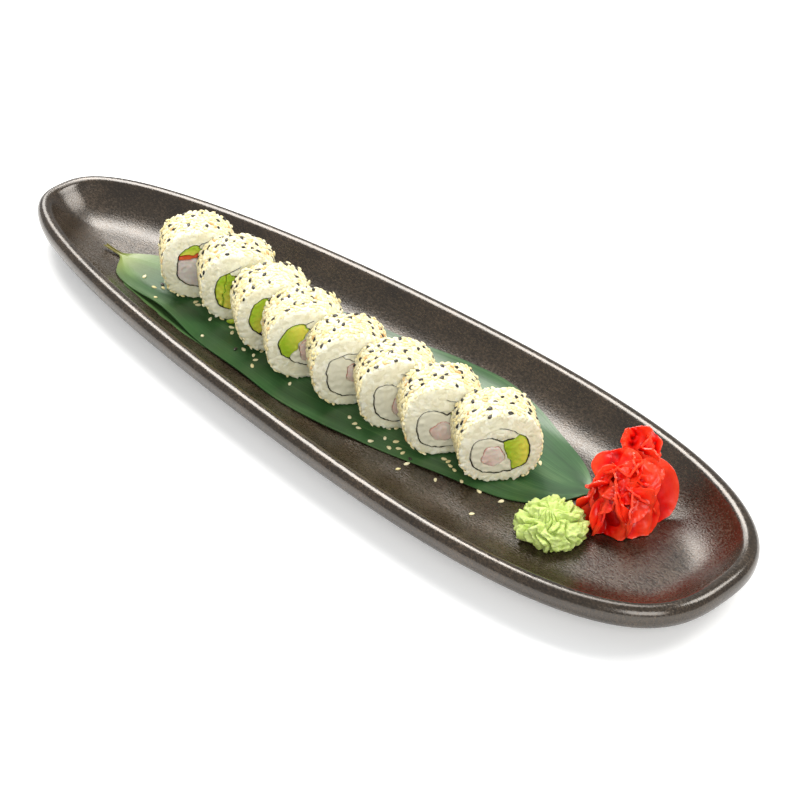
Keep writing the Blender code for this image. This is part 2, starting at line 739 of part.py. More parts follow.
def add_slice(mould, piece):
    """A round slice, pleated along its length and curled at its sides, as a thin solid."""
    bpy.ops.mesh.primitive_grid_add(x_subdivisions=5, y_subdivisions=4, size=2)
    made = take_active(mould, "slice", mould.material("ginger", (0.85, 0.05, 0.02), 0.3))
    half_width, half_length = piece.size[0] / 2, piece.size[1] / 2
    for vertex in made.data.vertices:
        u, v, _ = vertex.co
        x, y = u * math.sqrt(1 - v * v / 2), v * math.sqrt(1 - u * u / 2)
        pleat = piece.depth * math.sin(piece.folds * math.pi * x + 0.7 * y) * (0.6 + 0.4 * y)
        curl = piece.curl * half_width * (x * x + 0.3 * y * y)
        vertex.co = Vector((x * half_width, y * half_length, pleat + curl)) * MM
    thicken(made, SLICE_THICKNESS, 0)
    made.location = Vector(piece.place) * MM
    made.rotation_euler = [math.radians(turn) for turn in piece.turns]
    bpy.context.view_layer.update()
    apply_modifiers(made)
    return made


def build_ginger(mould, dish):
    """Pickled ginger: two crumpled cores with the outer slices fused on."""
    material = mould.material("ginger", (0.85, 0.05, 0.02), 0.3)
    cores = []
    for place, radius, top in ((GINGER_PLACE, 15.0, 29.0), (GINGER_BACK_PLACE, 10.5, 29.0)):
        bpy.ops.mesh.primitive_uv_sphere_add(segments=12, ring_count=7, radius=1)
        core = take_active(mould, "ginger", material)
        for vertex in core.data.vertices:
            x, y, z = vertex.co
            bearing = math.atan2(y, x)
            fold = 1 + 0.10 * math.sin(5 * bearing + 2 * z) + 0.08 * noise.noise(Vector((3 * x, 3 * y, 3 * z)))
            height = max((z + 0.62) / 1.62 * top, 0.0)
            spread = radius * fold
            vertex.co = Vector((x * spread, y * spread, height)) * MM
        core.location = (place[0] * MM, place[1] * MM, (FLOOR_HEIGHT + GAP) * MM)
        flatten_base(core)
        cores.append(core)
    ginger, back = cores
    slices = [add_slice(mould, piece) for piece in GINGER_SLICES]
    for piece in cores + slices:
        lift_clear(piece, dish)
    boolean(ginger, "UNION", [back] + slices)
    smooth(ginger.data)


def main():
    clear_scene()
    mould = new_mould("uramaki_set")
    dice = random.Random(8)
    dish = build_dish(mould)
    leaf = build_leaf(mould, dish, dice)
    for number, roll in enumerate(ROLLS, start=1):
        build_roll(mould, number, roll, dice)
    build_scrap(mould, leaf)
    build_wasabi(mould)
    build_ginger(mould, dish)


main()
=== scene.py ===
"""Uramaki roll in eight pieces on a bamboo leaf, with wasabi and pickled ginger, in a long stoneware dish.

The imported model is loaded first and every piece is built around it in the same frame: metres, +X to the
wide end of the dish, +Z up, origin in the middle of the dish on the table. Sizes in the tables are in
millimetres.
"""

import logging
import math
import random
from dataclasses import dataclass, field
from enum import Enum
from typing import Any, Callable, Iterable, Optional, Sequence

import bpy
import numpy as np
from mathutils import Euler, Matrix, Vector, noise
from mathutils.bvhtree import BVHTree

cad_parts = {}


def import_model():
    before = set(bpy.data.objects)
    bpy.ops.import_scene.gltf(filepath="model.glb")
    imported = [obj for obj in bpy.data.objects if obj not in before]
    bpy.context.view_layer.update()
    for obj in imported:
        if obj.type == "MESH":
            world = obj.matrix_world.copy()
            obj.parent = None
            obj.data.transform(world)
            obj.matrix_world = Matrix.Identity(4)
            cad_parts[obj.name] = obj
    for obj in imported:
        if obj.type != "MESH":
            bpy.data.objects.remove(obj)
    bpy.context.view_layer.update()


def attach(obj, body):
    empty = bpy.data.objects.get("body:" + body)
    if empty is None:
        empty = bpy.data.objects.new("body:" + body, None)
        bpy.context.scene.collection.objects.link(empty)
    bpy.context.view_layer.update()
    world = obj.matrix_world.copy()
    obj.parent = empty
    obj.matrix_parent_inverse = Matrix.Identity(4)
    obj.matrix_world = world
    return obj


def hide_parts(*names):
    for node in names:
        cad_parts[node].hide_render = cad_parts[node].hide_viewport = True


MM = 0.001
GAP = 0.3  # left between pieces that touch
ABOVE_ALL = 0.1  # metres: a height from which a place is sought straight down
LOW_GROUND = 0.016  # metres: loose seeds lie only on what is lower than this
TURN_SHARE = 0.6180339  # of a turn: grain after grain, these two spread evenly round and along a piece
DEPTH_SHARE = 0.7548777
ROLL_CHANCE = 21  # seeds of the random draws
GINGER_CHANCE = 5
log = logging.getLogger("uramaki")

Point = tuple[float, float]


# Finishes


def linear(code: str) -> tuple[float, float, float, float]:
    """Turns an sRGB hex colour into linear values.

    Args:
        code: six hex digits.

    Returns:
        Red, green, blue and full opacity.
    """
    parts = [int(code[k : k + 2], 16) / 255 for k in (0, 2, 4)]
    red, green, blue = (c / 12.92 if c <= 0.04045 else ((c + 0.055) / 1.055) ** 2.4 for c in parts)
    return (red, green, blue, 1.0)


def set_node(tree: Any, node: Any, settings: dict, links: Optional[dict] = None) -> None:
    """Sets a node's values and links its inputs.

    Args:
        tree: the node tree.
        node: the node.
        settings: values by input name, input number or property; "stops" fills a colour ramp.
        links: output sockets by input name or number.
    """
    for name, value in settings.items():
        if name == "stops":
            elements = node.color_ramp.elements
            while len(elements) < len(value):
                elements.new(0.5)
            for element, (place, colour) in zip(elements, value):
                element.position = place
                element.color = colour
        elif isinstance(name, int) or name in node.inputs:
            node.inputs[name].default_value = value
        else:
            setattr(node, name, value)
    for name, socket in (links or {}).items():
        tree.links.new(socket, node.inputs[name])


def add_node(tree: Any, kind: str, settings: Optional[dict] = None, links: Optional[dict] = None) -> Any:
    """Adds a node, sets it up and links its inputs.

    Args:
        tree: the node tree.
        kind: the node's type.
        settings: values, as set_node takes them.
        links: output sockets, as set_node takes them.

    Returns:
        The new node.
    """
    node = tree.nodes.new(kind)
    set_node(tree, node, settings or {}, links)
    return node


@dataclass(frozen=True)
class Finish:
    """What one real material looks like. Each finish below fills in its own nodes."""

    title: str
    roughness: float = 0.5
    ior: float = 1.45

    def build(self) -> bpy.types.Material:
        """Makes the material, or returns the one made before.

        Returns:
            The material.
        """
        made = bpy.data.materials.get(self.title)
        if made is None:
            made = bpy.data.materials.new(self.title)
            made.use_nodes = True
            tree = made.node_tree
            shader = tree.nodes["Principled BSDF"]
            set_node(tree, shader, {"Roughness": self.roughness, "IOR": self.ior})
            self.fill(tree, shader)
        return made

    def fill(self, tree: Any, shader: Any) -> None:
        """Adds this finish's own nodes."""


@dataclass(frozen=True)
class SatinStoneware(Finish):
    """Reduction-fired stoneware with a thin iron glaze: a dark brown, with a satin grain that sparkles."""

    title: str = "satin_stoneware"
    roughness: float = 0.25
    ior: float = 1.6
    grain_mm: float = 0.85
    cloud_mm: float = 16.0
    rim_grain: float = 0.28

    def fill(self, tree: Any, shader: Any) -> None:
        """Brown clouds, and a fine grain in colour, roughness and relief.

        Args:
            tree: the material's node tree.
            shader: its main shader.
        """
        place = add_node(tree, "ShaderNodeTexCoord").outputs["Object"]
        cloud = add_node(
            tree, "ShaderNodeTexNoise", {"Scale": 1 / (self.cloud_mm * MM), "Detail": 4.0}, {"Vector": place}
        )
        stretched = add_node(tree, "ShaderNodeMapping", {"Scale": (0.55, 1.0, 1.0)}, {"Vector": place})
        grain = add_node(
            tree,
            "ShaderNodeTexNoise",
            {"Scale": 1 / (self.grain_mm * MM), "Detail": 3.0, "Roughness": 0.65},
            {"Vector": stretched.outputs[0]},
        )
        both = add_node(
            tree,
            "ShaderNodeMath",
            {"operation": "MULTIPLY_ADD", 1: 0.45},
            {0: cloud.outputs["Fac"], 2: grain.outputs["Fac"]},
        )
        colour = add_node(
            tree,
            "ShaderNodeValToRGB",
            {"stops": [(0.45, linear("20180f")), (0.72, linear("34291c")), (0.95, linear("4f4030"))]},
            {"Fac": both.outputs[0]},
        )
        rough = add_node(
            tree,
            "ShaderNodeMapRange",
            {
                "From Min": 0.3,
                "From Max": 0.7,
                "To Min": self.roughness - 0.10,
                "To Max": self.roughness + 0.16,
            },
            {"Value": grain.outputs["Fac"]},
        )
        height = add_node(tree, "ShaderNodeSeparateXYZ", {}, {0: place})
        polish = add_node(
            tree,
            "ShaderNodeMapRange",
            {"From Min": 17 * MM, "From Max": 24 * MM, "To Min": 1.0, "To Max": 0.7},
            {"Value": height.outputs["Z"]},
        )
        rubbed = add_node(
            tree, "ShaderNodeMath", {"operation": "MULTIPLY"}, {0: rough.outputs[0], 1: polish.outputs[0]}
        )
        worn = add_node(
            tree,
            "ShaderNodeMapRange",
            {"From Min": 11 * MM, "From Max": 22 * MM, "To Min": 0.8, "To Max": self.rim_grain},
            {"Value": height.outputs["Z"]},
        )
        bump = add_node(
            tree,
            "ShaderNodeBump",
            {"Distance": 0.19 * MM},
            {"Height": grain.outputs["Fac"], "Strength": worn.outputs[0]},
        )
        set_node(
            tree,
            shader,
            {"Metallic": 0.3, "Specular IOR Level": 0.75},
            {
                "Base Color": colour.outputs["Color"],
                "Roughness": rubbed.outputs[0],
                "Normal": bump.outputs[0],
            },
        )


@dataclass(frozen=True)
class BambooBlade(Finish):
    """A soaked bamboo leaf: fine parallel veins, a waxy sheen, deep green with paler ends."""

    title: str = "bamboo_leaf"
    roughness: float = 0.34
    veins_across: float = 70.0
    pale_end: str = "8f9a52"
    stalk: str = "6b5f26"

    def fill(self, tree: Any, shader: Any) -> None:
        """Veins run along the first coordinate of the leaf's own map.

        Args:
            tree: the material's node tree.
            shader: its main shader.
        """
        mapped = add_node(tree, "ShaderNodeUVMap", {"uv_map": "UVMap"}).outputs[0]
        fine = add_node(
            tree, "ShaderNodeMapping", {"Scale": (2.2, self.veins_across, 1.0)}, {"Vector": mapped}
        )
        veins = add_node(
            tree,
            "ShaderNodeTexNoise",
            {"Scale": 1.0, "Detail": 4.0, "Roughness": 0.6},
            {"Vector": fine.outputs[0]},
        )
        broad = add_node(tree, "ShaderNodeMapping", {"Scale": (5.0, 3.0, 1.0)}, {"Vector": mapped})
        patch = add_node(
            tree, "ShaderNodeTexNoise", {"Scale": 1.0, "Detail": 3.0}, {"Vector": broad.outputs[0]}
        )
        both = add_node(
            tree,
            "ShaderNodeMath",
            {"operation": "MULTIPLY_ADD", 1: 0.55},
            {0: veins.outputs["Fac"], 2: patch.outputs["Fac"]},
        )
        colour = add_node(
            tree,
            "ShaderNodeValToRGB",
            {"stops": [(0.5, linear("1d3c1c")), (0.78, linear("345a30")), (1.05, linear("5a7c4c"))]},
            {"Fac": both.outputs[0]},
        )
        along = add_node(tree, "ShaderNodeSeparateXYZ", {}, {0: mapped}).outputs[0]
        last = colour.outputs["Color"]
        for start, end, code in ((0.32, 0.06, self.pale_end), (0.12, 0.05, self.stalk)):
            share = add_node(
                tree,
                "ShaderNodeMapRange",
                {
                    "From Min": end,
                    "From Max": start,
                    "To Min": 0.85,
                    "To Max": 0.0,
                    "interpolation_type": "SMOOTHSTEP",
                },
                {"Value": along},
            )
            mixed = add_node(
                tree, "ShaderNodeMix", {"data_type": "RGBA", 7: linear(code)}, {0: share.outputs[0], 6: last}
            )
            last = mixed.outputs[2]
        bump = add_node(
            tree, "ShaderNodeBump", {"Strength": 0.3, "Distance": 0.1 * MM}, {"Height": veins.outputs["Fac"]}
        )
        set_node(tree, shader, {"Specular IOR Level": 0.5}, {"Base Color": last, "Normal": bump.outputs[0]})


@dataclass(frozen=True)
class CookedRice(Finish):
    """Short-grain rice with vinegar: translucent off-white grains with a moist gloss."""

    title: str = "cooked_rice"
    roughness: float = 0.34
    ior: float = 1.38
    grain_mm: float = 2.6

    def fill(self, tree: Any, shader: Any) -> None:
        """Each grain is a little lighter or darker, and light runs through them.

        Args:
            tree: the material's node tree.
            shader: its main shader.
        """
        place = add_node(tree, "ShaderNodeTexCoord").outputs["Object"]
        cells = add_node(tree, "ShaderNodeTexVoronoi", {"Scale": 1 / (self.grain_mm * MM)}, {"Vector": place})
        split = add_node(tree, "ShaderNodeSeparateColor", {}, {0: cells.outputs["Color"]})
        colour = add_node(
            tree,
            "ShaderNodeValToRGB",
            {"stops": [(0.0, linear("e3ddc0")), (0.5, linear("ece7cd")), (1.0, linear("f5f1dc"))]},
            {"Fac": split.outputs[0]},
        )
        soft = add_node(
            tree, "ShaderNodeTexNoise", {"Scale": 1 / (0.8 * MM), "Detail": 2.0}, {"Vector": place}
        )
        bump = add_node(
            tree, "ShaderNodeBump", {"Strength": 0.25, "Distance": 0.12 * MM}, {"Height": soft.outputs["Fac"]}
        )
        depth = {
            "Subsurface Weight": 0.45,
            "Subsurface Radius": (1.0, 0.9, 0.7),
            "Subsurface Scale": 1.6 * MM,
        }
        gloss = {"Coat Weight": 0.15, "Coat Roughness": 0.25}
        links = {"Base Color": colour.outputs["Color"], "Normal": bump.outputs[0]}
        set_node(tree, shader, {**depth, **gloss}, links)


@dataclass(frozen=True)
class RoastedNori(Finish):
    """Roasted seaweed sheet gone soft in the rice: nearly black green and matt."""

    title: str = "roasted_nori"
    roughness: float = 0.62

    def fill(self, tree: Any, shader: Any) -> None:
        """Flecks of brown and green.

        Args:
            tree: the material's node tree.
            shader: its main shader.
        """
        place = add_node(tree, "ShaderNodeTexCoord").outputs["Object"]
        flecks = add_node(
            tree, "ShaderNodeTexNoise", {"Scale": 1 / (1.2 * MM), "Detail": 3.0}, {"Vector": place}
        )
        colour = add_node(
            tree,
            "ShaderNodeValToRGB",
            {"stops": [(0.35, linear("1d1c11")), (0.7, linear("45402a"))]},
            {"Fac": flecks.outputs["Fac"]},
        )
        bump = add_node(
            tree, "ShaderNodeBump", {"Strength": 0.3, "Distance": 0.1 * MM}, {"Height": flecks.outputs["Fac"]}
        )
        set_node(tree, shader, {}, {"Base Color": colour.outputs["Color"], "Normal": bump.outputs[0]})


@dataclass(frozen=True, kw_only=True)
class SoftFilling(Finish):
    """A moist filling whose colour runs from one side to the other, with its rim in a third colour."""

    low: str
    high: str
    rim: str
    rim_mm: float
    mottle_mm: float = 2.2
    relief: float = 0.35
    see_through: float = 0.3

    def fill(self, tree: Any, shader: Any) -> None:
        """The face map holds the place across the filling and the depth in from its rim.

        Args:
            tree: the material's node tree.
            shader: its main shader.
        """
        place = add_node(tree, "ShaderNodeTexCoord").outputs["Object"]
        mapped = add_node(tree, "ShaderNodeUVMap", {"uv_map": "face"}).outputs[0]
        split = add_node(tree, "ShaderNodeSeparateXYZ", {}, {0: mapped})
        mottle = add_node(
            tree, "ShaderNodeTexNoise", {"Scale": 1 / (self.mottle_mm * MM), "Detail": 3.0}, {"Vector": place}
        )
        across = add_node(
            tree,
            "ShaderNodeMath",
            {"operation": "MULTIPLY_ADD", 1: 0.35},
            {0: mottle.outputs["Fac"], 2: split.outputs[0]},
        )
        body = add_node(
            tree,
            "ShaderNodeValToRGB",
            {"stops": [(0.3, linear(self.low)), (1.0, linear(self.high))]},
            {"Fac": across.outputs[0]},
        )
        wobble = add_node(
            tree,
            "ShaderNodeMath",
            {"operation": "MULTIPLY_ADD", 1: 0.16},
            {0: mottle.outputs["Fac"], 2: split.outputs[1]},
        )
        depth = add_node(
            tree,
            "ShaderNodeMapRange",
            {"From Min": 0.08, "From Max": 0.08 + self.rim_mm / 10},
            {"Value": wobble.outputs[0]},
        )
        colour = add_node(
            tree,
            "ShaderNodeMix",
            {"data_type": "RGBA", 6: linear(self.rim)},
            {0: depth.outputs[0], 7: body.outputs["Color"]},
        )
        bump = add_node(
            tree,
            "ShaderNodeBump",
            {"Strength": self.relief, "Distance": 0.25 * MM},
            {"Height": mottle.outputs["Fac"]},
        )
        set_node(
            tree,
            shader,
            {"Subsurface Weight": self.see_through, "Subsurface Scale": 1.2 * MM},
            {"Base Color": colour.outputs[2], "Normal": bump.outputs[0]},
        )


@dataclass(frozen=True, kw_only=True)
class SeedCoat(Finish):
    """Sesame: a dry, slightly waxy seed coat, each seed a shade of its own."""

    dark: str
    light: str

    def fill(self, tree: Any, shader: Any) -> None:
        """The shade of each seed comes with the seed.

        Args:
            tree: the material's node tree.
            shader: its main shader.
        """
        shade = add_node(tree, "ShaderNodeAttribute", {"attribute_name": "shade"})
        colour = add_node(
            tree,
            "ShaderNodeValToRGB",
            {"stops": [(0.0, linear(self.dark)), (1.0, linear(self.light))]},
            {"Fac": shade.outputs["Fac"]},
        )
        set_node(tree, shader, {}, {"Base Color": colour.outputs["Color"]})


@dataclass(frozen=True)
class WasabiPaste(Finish):
    """Wasabi mixed from powder: a pale green, crumbly paste with no gloss."""

    title: str = "wasabi_paste"
    roughness: float = 0.62

    def fill(self, tree: Any, shader: Any) -> None:
        """Fine crumbs in the relief, and lighter and darker green.

        Args:
            tree: the material's node tree.
            shader: its main shader.
        """
        place = add_node(tree, "ShaderNodeTexCoord").outputs["Object"]
        crumbs = add_node(
            tree, "ShaderNodeTexNoise", {"Scale": 1 / (1.0 * MM), "Detail": 4.0}, {"Vector": place}
        )
        broad = add_node(
            tree, "ShaderNodeTexNoise", {"Scale": 1 / (5.0 * MM), "Detail": 2.0}, {"Vector": place}
        )
        colour = add_node(
            tree,
            "ShaderNodeValToRGB",
            {"stops": [(0.3, linear("b0c562")), (0.7, linear("d0df8e"))]},
            {"Fac": broad.outputs["Fac"]},
        )
        bump = add_node(
            tree, "ShaderNodeBump", {"Strength": 0.6, "Distance": 0.3 * MM}, {"Height": crumbs.outputs["Fac"]}
        )
        set_node(
            tree,
            shader,
            {"Subsurface Weight": 0.35, "Subsurface Radius": (0.8, 1.0, 0.4), "Subsurface Scale": 1.5 * MM},
            {"Base Color": colour.outputs["Color"], "Normal": bump.outputs[0]},
        )


@dataclass(frozen=True)
class PickledGinger(Finish):
    """Shaved ginger in red vinegar: thin, wet and translucent, with painted light on its folds and painted
    shade between them.
    """

    title: str = "pickled_ginger"
    roughness: float = 0.3
    ior: float = 1.4

    def fill(self, tree: Any, shader: Any) -> None:
        """Fibres along each slice, painted light and shade from the fold attribute, and a wet coat over them.

        Args:
            tree: the material's node tree.
            shader: its main shader.
        """
        place = add_node(tree, "ShaderNodeTexCoord").outputs["Object"]
        clouds = add_node(
            tree, "ShaderNodeTexNoise", {"Scale": 1 / (6.0 * MM), "Detail": 3.0}, {"Vector": place}
        )
        # The fold attribute carries painted light and shade: ridges and slice rims lighter, valleys and the
        # cores darker.
        folds = add_node(tree, "ShaderNodeAttribute", {"attribute_name": "fold"})
        both = add_node(
            tree,
            "ShaderNodeMath",
            {"operation": "MULTIPLY_ADD", 1: 0.4},
            {0: clouds.outputs["Fac"], 2: folds.outputs["Fac"]},
        )
        fibres = add_node(
            tree, "ShaderNodeTexNoise", {"Scale": 1 / (1.3 * MM), "Detail": 2.0}, {"Vector": place}
        )
        colour = add_node(
            tree,
            "ShaderNodeValToRGB",
            {"stops": [(0.25, linear("9a0100")), (0.6, linear("e00a02")), (1.0, linear("ff4424"))]},
            {"Fac": both.outputs[0]},
        )
        bump = add_node(
            tree, "ShaderNodeBump", {"Strength": 0.3, "Distance": 0.2 * MM}, {"Height": fibres.outputs["Fac"]}
        )
        depth = {"Subsurface Weight": 0.3, "Subsurface Radius": (1.0, 0.2, 0.1), "Subsurface Scale": 2.0 * MM}
        gloss = {"Specular IOR Level": 0.35, "Coat Weight": 0.15, "Coat Roughness": 0.2}
        links = {"Base Color": colour.outputs["Color"], "Normal": bump.outputs[0]}
        set_node(tree, shader, {**depth, **gloss}, links)


STONEWARE = SatinStoneware()
LEAF_BLADE = BambooBlade()
RICE = CookedRice()
NORI = RoastedNori()
AVOCADO = SoftFilling("ripe_avocado", 0.36, low="e3d95a", high="9dbb2a", rim="a9c038", rim_mm=1.0)
CREAM = SoftFilling(
    "cream_cheese", 0.42, low="fbf7e8", high="f4efde", rim="ebe6d3", rim_mm=1.0, see_through=0.2
)
SHRIMP = SoftFilling(
    "boiled_shrimp", 0.3, low="e6d8cd", high="d8bfb2", rim="cf9688", rim_mm=0.4, mottle_mm=1.8
)
PALE_SHRIMP = SoftFilling(
    "pale_shrimp", 0.34, low="e6e1d8", high="d3c9c2", rim="c6b4ac", rim_mm=0.8, mottle_mm=2.4
)
CRAB = SoftFilling("crab_stick", 0.4, low="e07038", high="d04a26", rim="c8401f", rim_mm=0.8, mottle_mm=1.4)
PALE_SEED = SeedCoat("hulled_sesame", 0.4, dark="ead99c", light="faf0c9")
TOASTED_SEED = SeedCoat("toasted_sesame", 0.42, dark="d3a566", light="ecd29a")
BLACK_SEED = SeedCoat("black_sesame", 0.38, dark="14110f", light="3b342c")
WASABI = WasabiPaste()
GINGER = PickledGinger()


# Ways of working


def deselect() -> None:
    """Leaves nothing selected and no object active in edit mode."""
    if bpy.context.mode != "OBJECT":
        bpy.ops.object.mode_set(mode="OBJECT")
    bpy.ops.object.select_all(action="DESELECT")


def activate(piece: bpy.types.Object) -> None:
    """Selects one object and makes it the active one.

    Args:
        piece: the object.
    """
    deselect()
    piece.select_set(True)
    bpy.context.view_layer.objects.active = piece


def take(title: str) -> bpy.types.Object:
    """Names the primitive that was just added and returns it.

    Args:
        title: its name.

    Returns:
        The primitive.
    """
    piece = bpy.context.object
    piece.name = title
    piece.data.name = title
    return piece


def add_shape(title: str, operator: Callable[..., Any], **sizes: Any) -> bpy.types.Object:
    """Adds a primitive with nothing else selected, and names it.

    Args:
        title: the new piece's name.
        operator: the operator that adds the primitive.
        sizes: what the operator takes.

    Returns:
        The new piece, which is the active object.
    """
    deselect()
    operator(**sizes)
    return take(title)


def apply_modifiers(piece: bpy.types.Object) -> None:
    """Applies every modifier of a piece in order.

    Args:
        piece: the piece.
    """
    activate(piece)
    for step in list(piece.modifiers):
        bpy.ops.object.modifier_apply(modifier=step.name)


def thicken(piece: bpy.types.Object, thickness: float, offset: float) -> None:
    """Gives a sheet its thickness.

    Args:
        piece: the sheet.
        thickness: in millimetres.
        offset: 1 for a wall that stands on the sheet, 0 for one to both sides of it.
    """
    wall = piece.modifiers.new("thickness", "SOLIDIFY")
    wall.thickness = thickness * MM
    wall.offset = offset
    apply_modifiers(piece)


def fuse(piece: bpy.types.Object, voxel: float, rounds: int) -> None:
    """Makes one even skin of all that a piece holds, and softens it.

    Args:
        piece: the piece.
        voxel: size of the new faces, in millimetres.
        rounds: how many times it is smoothed.
    """
    even = piece.modifiers.new("even", "REMESH")
    even.mode = "VOXEL"
    even.voxel_size = voxel * MM
    soft = piece.modifiers.new("soften", "SMOOTH")
    soft.factor = 0.5
    soft.iterations = rounds
    apply_modifiers(piece)


def join(pieces: Sequence[bpy.types.Object]) -> None:
    """Joins the pieces into the first of them.

    Args:
        pieces: what is joined.
    """
    deselect()
    for piece in pieces:
        piece.select_set(True)
    bpy.context.view_layer.objects.active = pieces[0]
    bpy.ops.object.join()


def settle(piece: bpy.types.Object, place: Matrix) -> None:
    """Puts a piece in its place and writes the place into its mesh.

    Args:
        piece: the piece.
        place: where it goes.
    """
    piece.matrix_world = place
    activate(piece)
    bpy.ops.object.transform_apply(location=True, rotation=True, scale=True)


def shade(piece: bpy.types.Object, degrees: float = 40.0) -> None:
    """Shades a piece smooth, with edges sharper than the angle kept."""
    activate(piece)
    bpy.ops.object.shade_smooth_by_angle(angle=math.radians(degrees))


def tidy_normals(piece: bpy.types.Object) -> None:
    """Merges doubles and turns all faces outwards.

    Args:
        piece: the piece.
    """
    activate(piece)
    bpy.ops.object.mode_set(mode="EDIT")
    bpy.ops.mesh.select_all(action="SELECT")
    bpy.ops.mesh.remove_doubles(threshold=0.00001)
    bpy.ops.mesh.normals_make_consistent(inside=False)
    bpy.ops.object.mode_set(mode="OBJECT")


def move_points(piece: bpy.types.Object, rule: Callable[[np.ndarray], np.ndarray]) -> None:
    """Gives every vertex the place that a rule works out from its present one.

    Args:
        piece: the piece.
        rule: takes all places, a row each, and returns the new ones.
    """
    mesh = piece.data
    places = np.empty(len(mesh.vertices) * 3)
    mesh.vertices.foreach_get("co", places)
    moved = np.ascontiguousarray(rule(places.reshape(-1, 3)), dtype=np.float64)
    mesh.vertices.foreach_set("co", moved.reshape(-1))
    mesh.update()


def points_of(piece: bpy.types.Object) -> np.ndarray:
    """The vertices of a piece as an array.

    Args:
        piece: the piece.

    Returns:
        The places, a row each.
    """
    places = np.empty(len(piece.data.vertices) * 3)
    piece.data.vertices.foreach_get("co", places)
    return places.reshape(-1, 3)


def finish_piece(piece: bpy.types.Object, look: Finish, slot: str, *nodes: str) -> None:
    """Dresses a piece, ties it to the dish's body and hides the solids that it replaces.

    Args:
        piece: the finished object, at the origin.
        look: its finish.
        slot: not used.
        nodes: the solids that it replaces, if any.
    """
    piece.data.materials.clear()
    piece.data.materials.append(look.build())
    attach(piece, "root")
    if nodes:
        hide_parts(*nodes)
    log.info("%s: %d faces", piece.name, len(piece.data.polygons))


def triangles_of(piece: bpy.types.Object) -> list[tuple[int, int, int]]:
    """The corners of a piece's triangles."""
    piece.data.calc_loop_triangles()
    return [tuple(face.vertices) for face in piece.data.loop_triangles]


def surface_of(piece: bpy.types.Object) -> BVHTree:
    """A search tree over a piece that sits at the origin."""
    corners = [tuple(vertex.co) for vertex in piece.data.vertices]
    return BVHTree.FromPolygons(corners, triangles_of(piece))


def drop_on(surface: BVHTree, x: float, y: float) -> tuple:
    """What surface.ray_cast finds straight below a place, given in millimetres."""
    return surface.ray_cast(Vector((x * MM, y * MM, ABOVE_ALL)), Vector((0, 0, -1)))


def prism(
    title: str, outline: Sequence[Point], front: float, back: float, rounding: float = 0.0
) -> bpy.types.Object:
    """A closed outline, extruded in depth, with rounded rims.

    Args:
        title: the piece's name.
        outline: points across and up, in millimetres.
        front: depth of the front face.
        back: depth of the back face.
        rounding: radius of the rims.

    Returns:
        The piece, in the outline's own coordinates.
    """
    piece = add_shape(
        title, bpy.ops.mesh.primitive_circle_add, vertices=len(outline), radius=1, fill_type="NGON"
    )
    flat = np.array([(across * MM, up * MM, back * MM) for across, up in outline])
    move_points(piece, lambda _: flat)
    bpy.ops.object.mode_set(mode="EDIT")
    bpy.ops.mesh.select_all(action="SELECT")
    bpy.ops.mesh.extrude_region_move(TRANSFORM_OT_translate={"value": (0, 0, (front - back) * MM)})
    bpy.ops.mesh.select_all(action="SELECT")
    bpy.ops.mesh.normals_make_consistent(inside=False)
    bpy.ops.object.mode_set(mode="OBJECT")
    if rounding:
        rims = piece.modifiers.new("rims", "BEVEL")
        rims.width = rounding * MM
        rims.segments = 2
        rims.limit_method = "ANGLE"
        rims.angle_limit = math.radians(50)
        apply_modifiers(piece)
    return piece


def cut(piece: bpy.types.Object, cutter: bpy.types.Object, operation: str = "DIFFERENCE") -> None:
    """Cuts one closed mesh with another, or keeps what both share, and removes the cutter.

    Args:
        piece: the piece.
        cutter: the other mesh.
        operation: DIFFERENCE, or INTERSECT to keep what both share.
    """
    step = piece.modifiers.new("cut", "BOOLEAN")
    step.operation = operation
    step.object = cutter
    step.solver = "MANIFOLD"
    apply_modifiers(piece)
    bpy.data.objects.remove(cutter)


def joined(
    title: str, shape: bpy.types.Object, places: Sequence[Matrix], shades: Sequence[float] = ()
) -> bpy.types.Object:
    """Copies a small shape to many places as one mesh.

    Args:
        title: the new piece's name.
        shape: what is copied.
        places: where each copy goes.
        shades: a number for each copy, kept on its points.

    Returns:
        The joined piece.
    """
    base = np.hstack([points_of(shape), np.ones((len(shape.data.vertices), 1))])
    faces = np.array(triangles_of(shape))
    corners = np.vstack([(base @ np.array(place).T)[:, :3] for place in places])
    rows = np.vstack([faces + len(base) * k for k in range(len(places))])
    mesh = bpy.data.meshes.new(title)
    mesh.from_pydata(corners.tolist(), [], rows.tolist())
    if len(shades):
        layer = mesh.attributes.new("shade", "FLOAT", "POINT")
        layer.data.foreach_set("value", np.repeat(np.array(shades, dtype=np.float32), len(base)))
    piece = bpy.data.objects.new(title, mesh)
    bpy.context.scene.collection.objects.link(piece)
    return piece


def lying(place: Vector, up: Vector, heading: float, scale: float = 1.0) -> Matrix:
    """A place on a surface, turned about the surface's normal.

    Args:
        place: the point.
        up: the surface's normal.
        heading: the turn, in radians.
        scale: the size.

    Returns:
        The place as a matrix.
    """
    normal = up.normalized()
    side = normal.orthogonal().normalized()
    along = side * math.cos(heading) + normal.cross(side) * math.sin(heading)
    across = normal.cross(along)
    turn = Matrix((along, across, normal)).transposed().to_4x4()
    return Matrix.Translation(place) @ turn @ Matrix.Scale(scale, 4)


# The dish


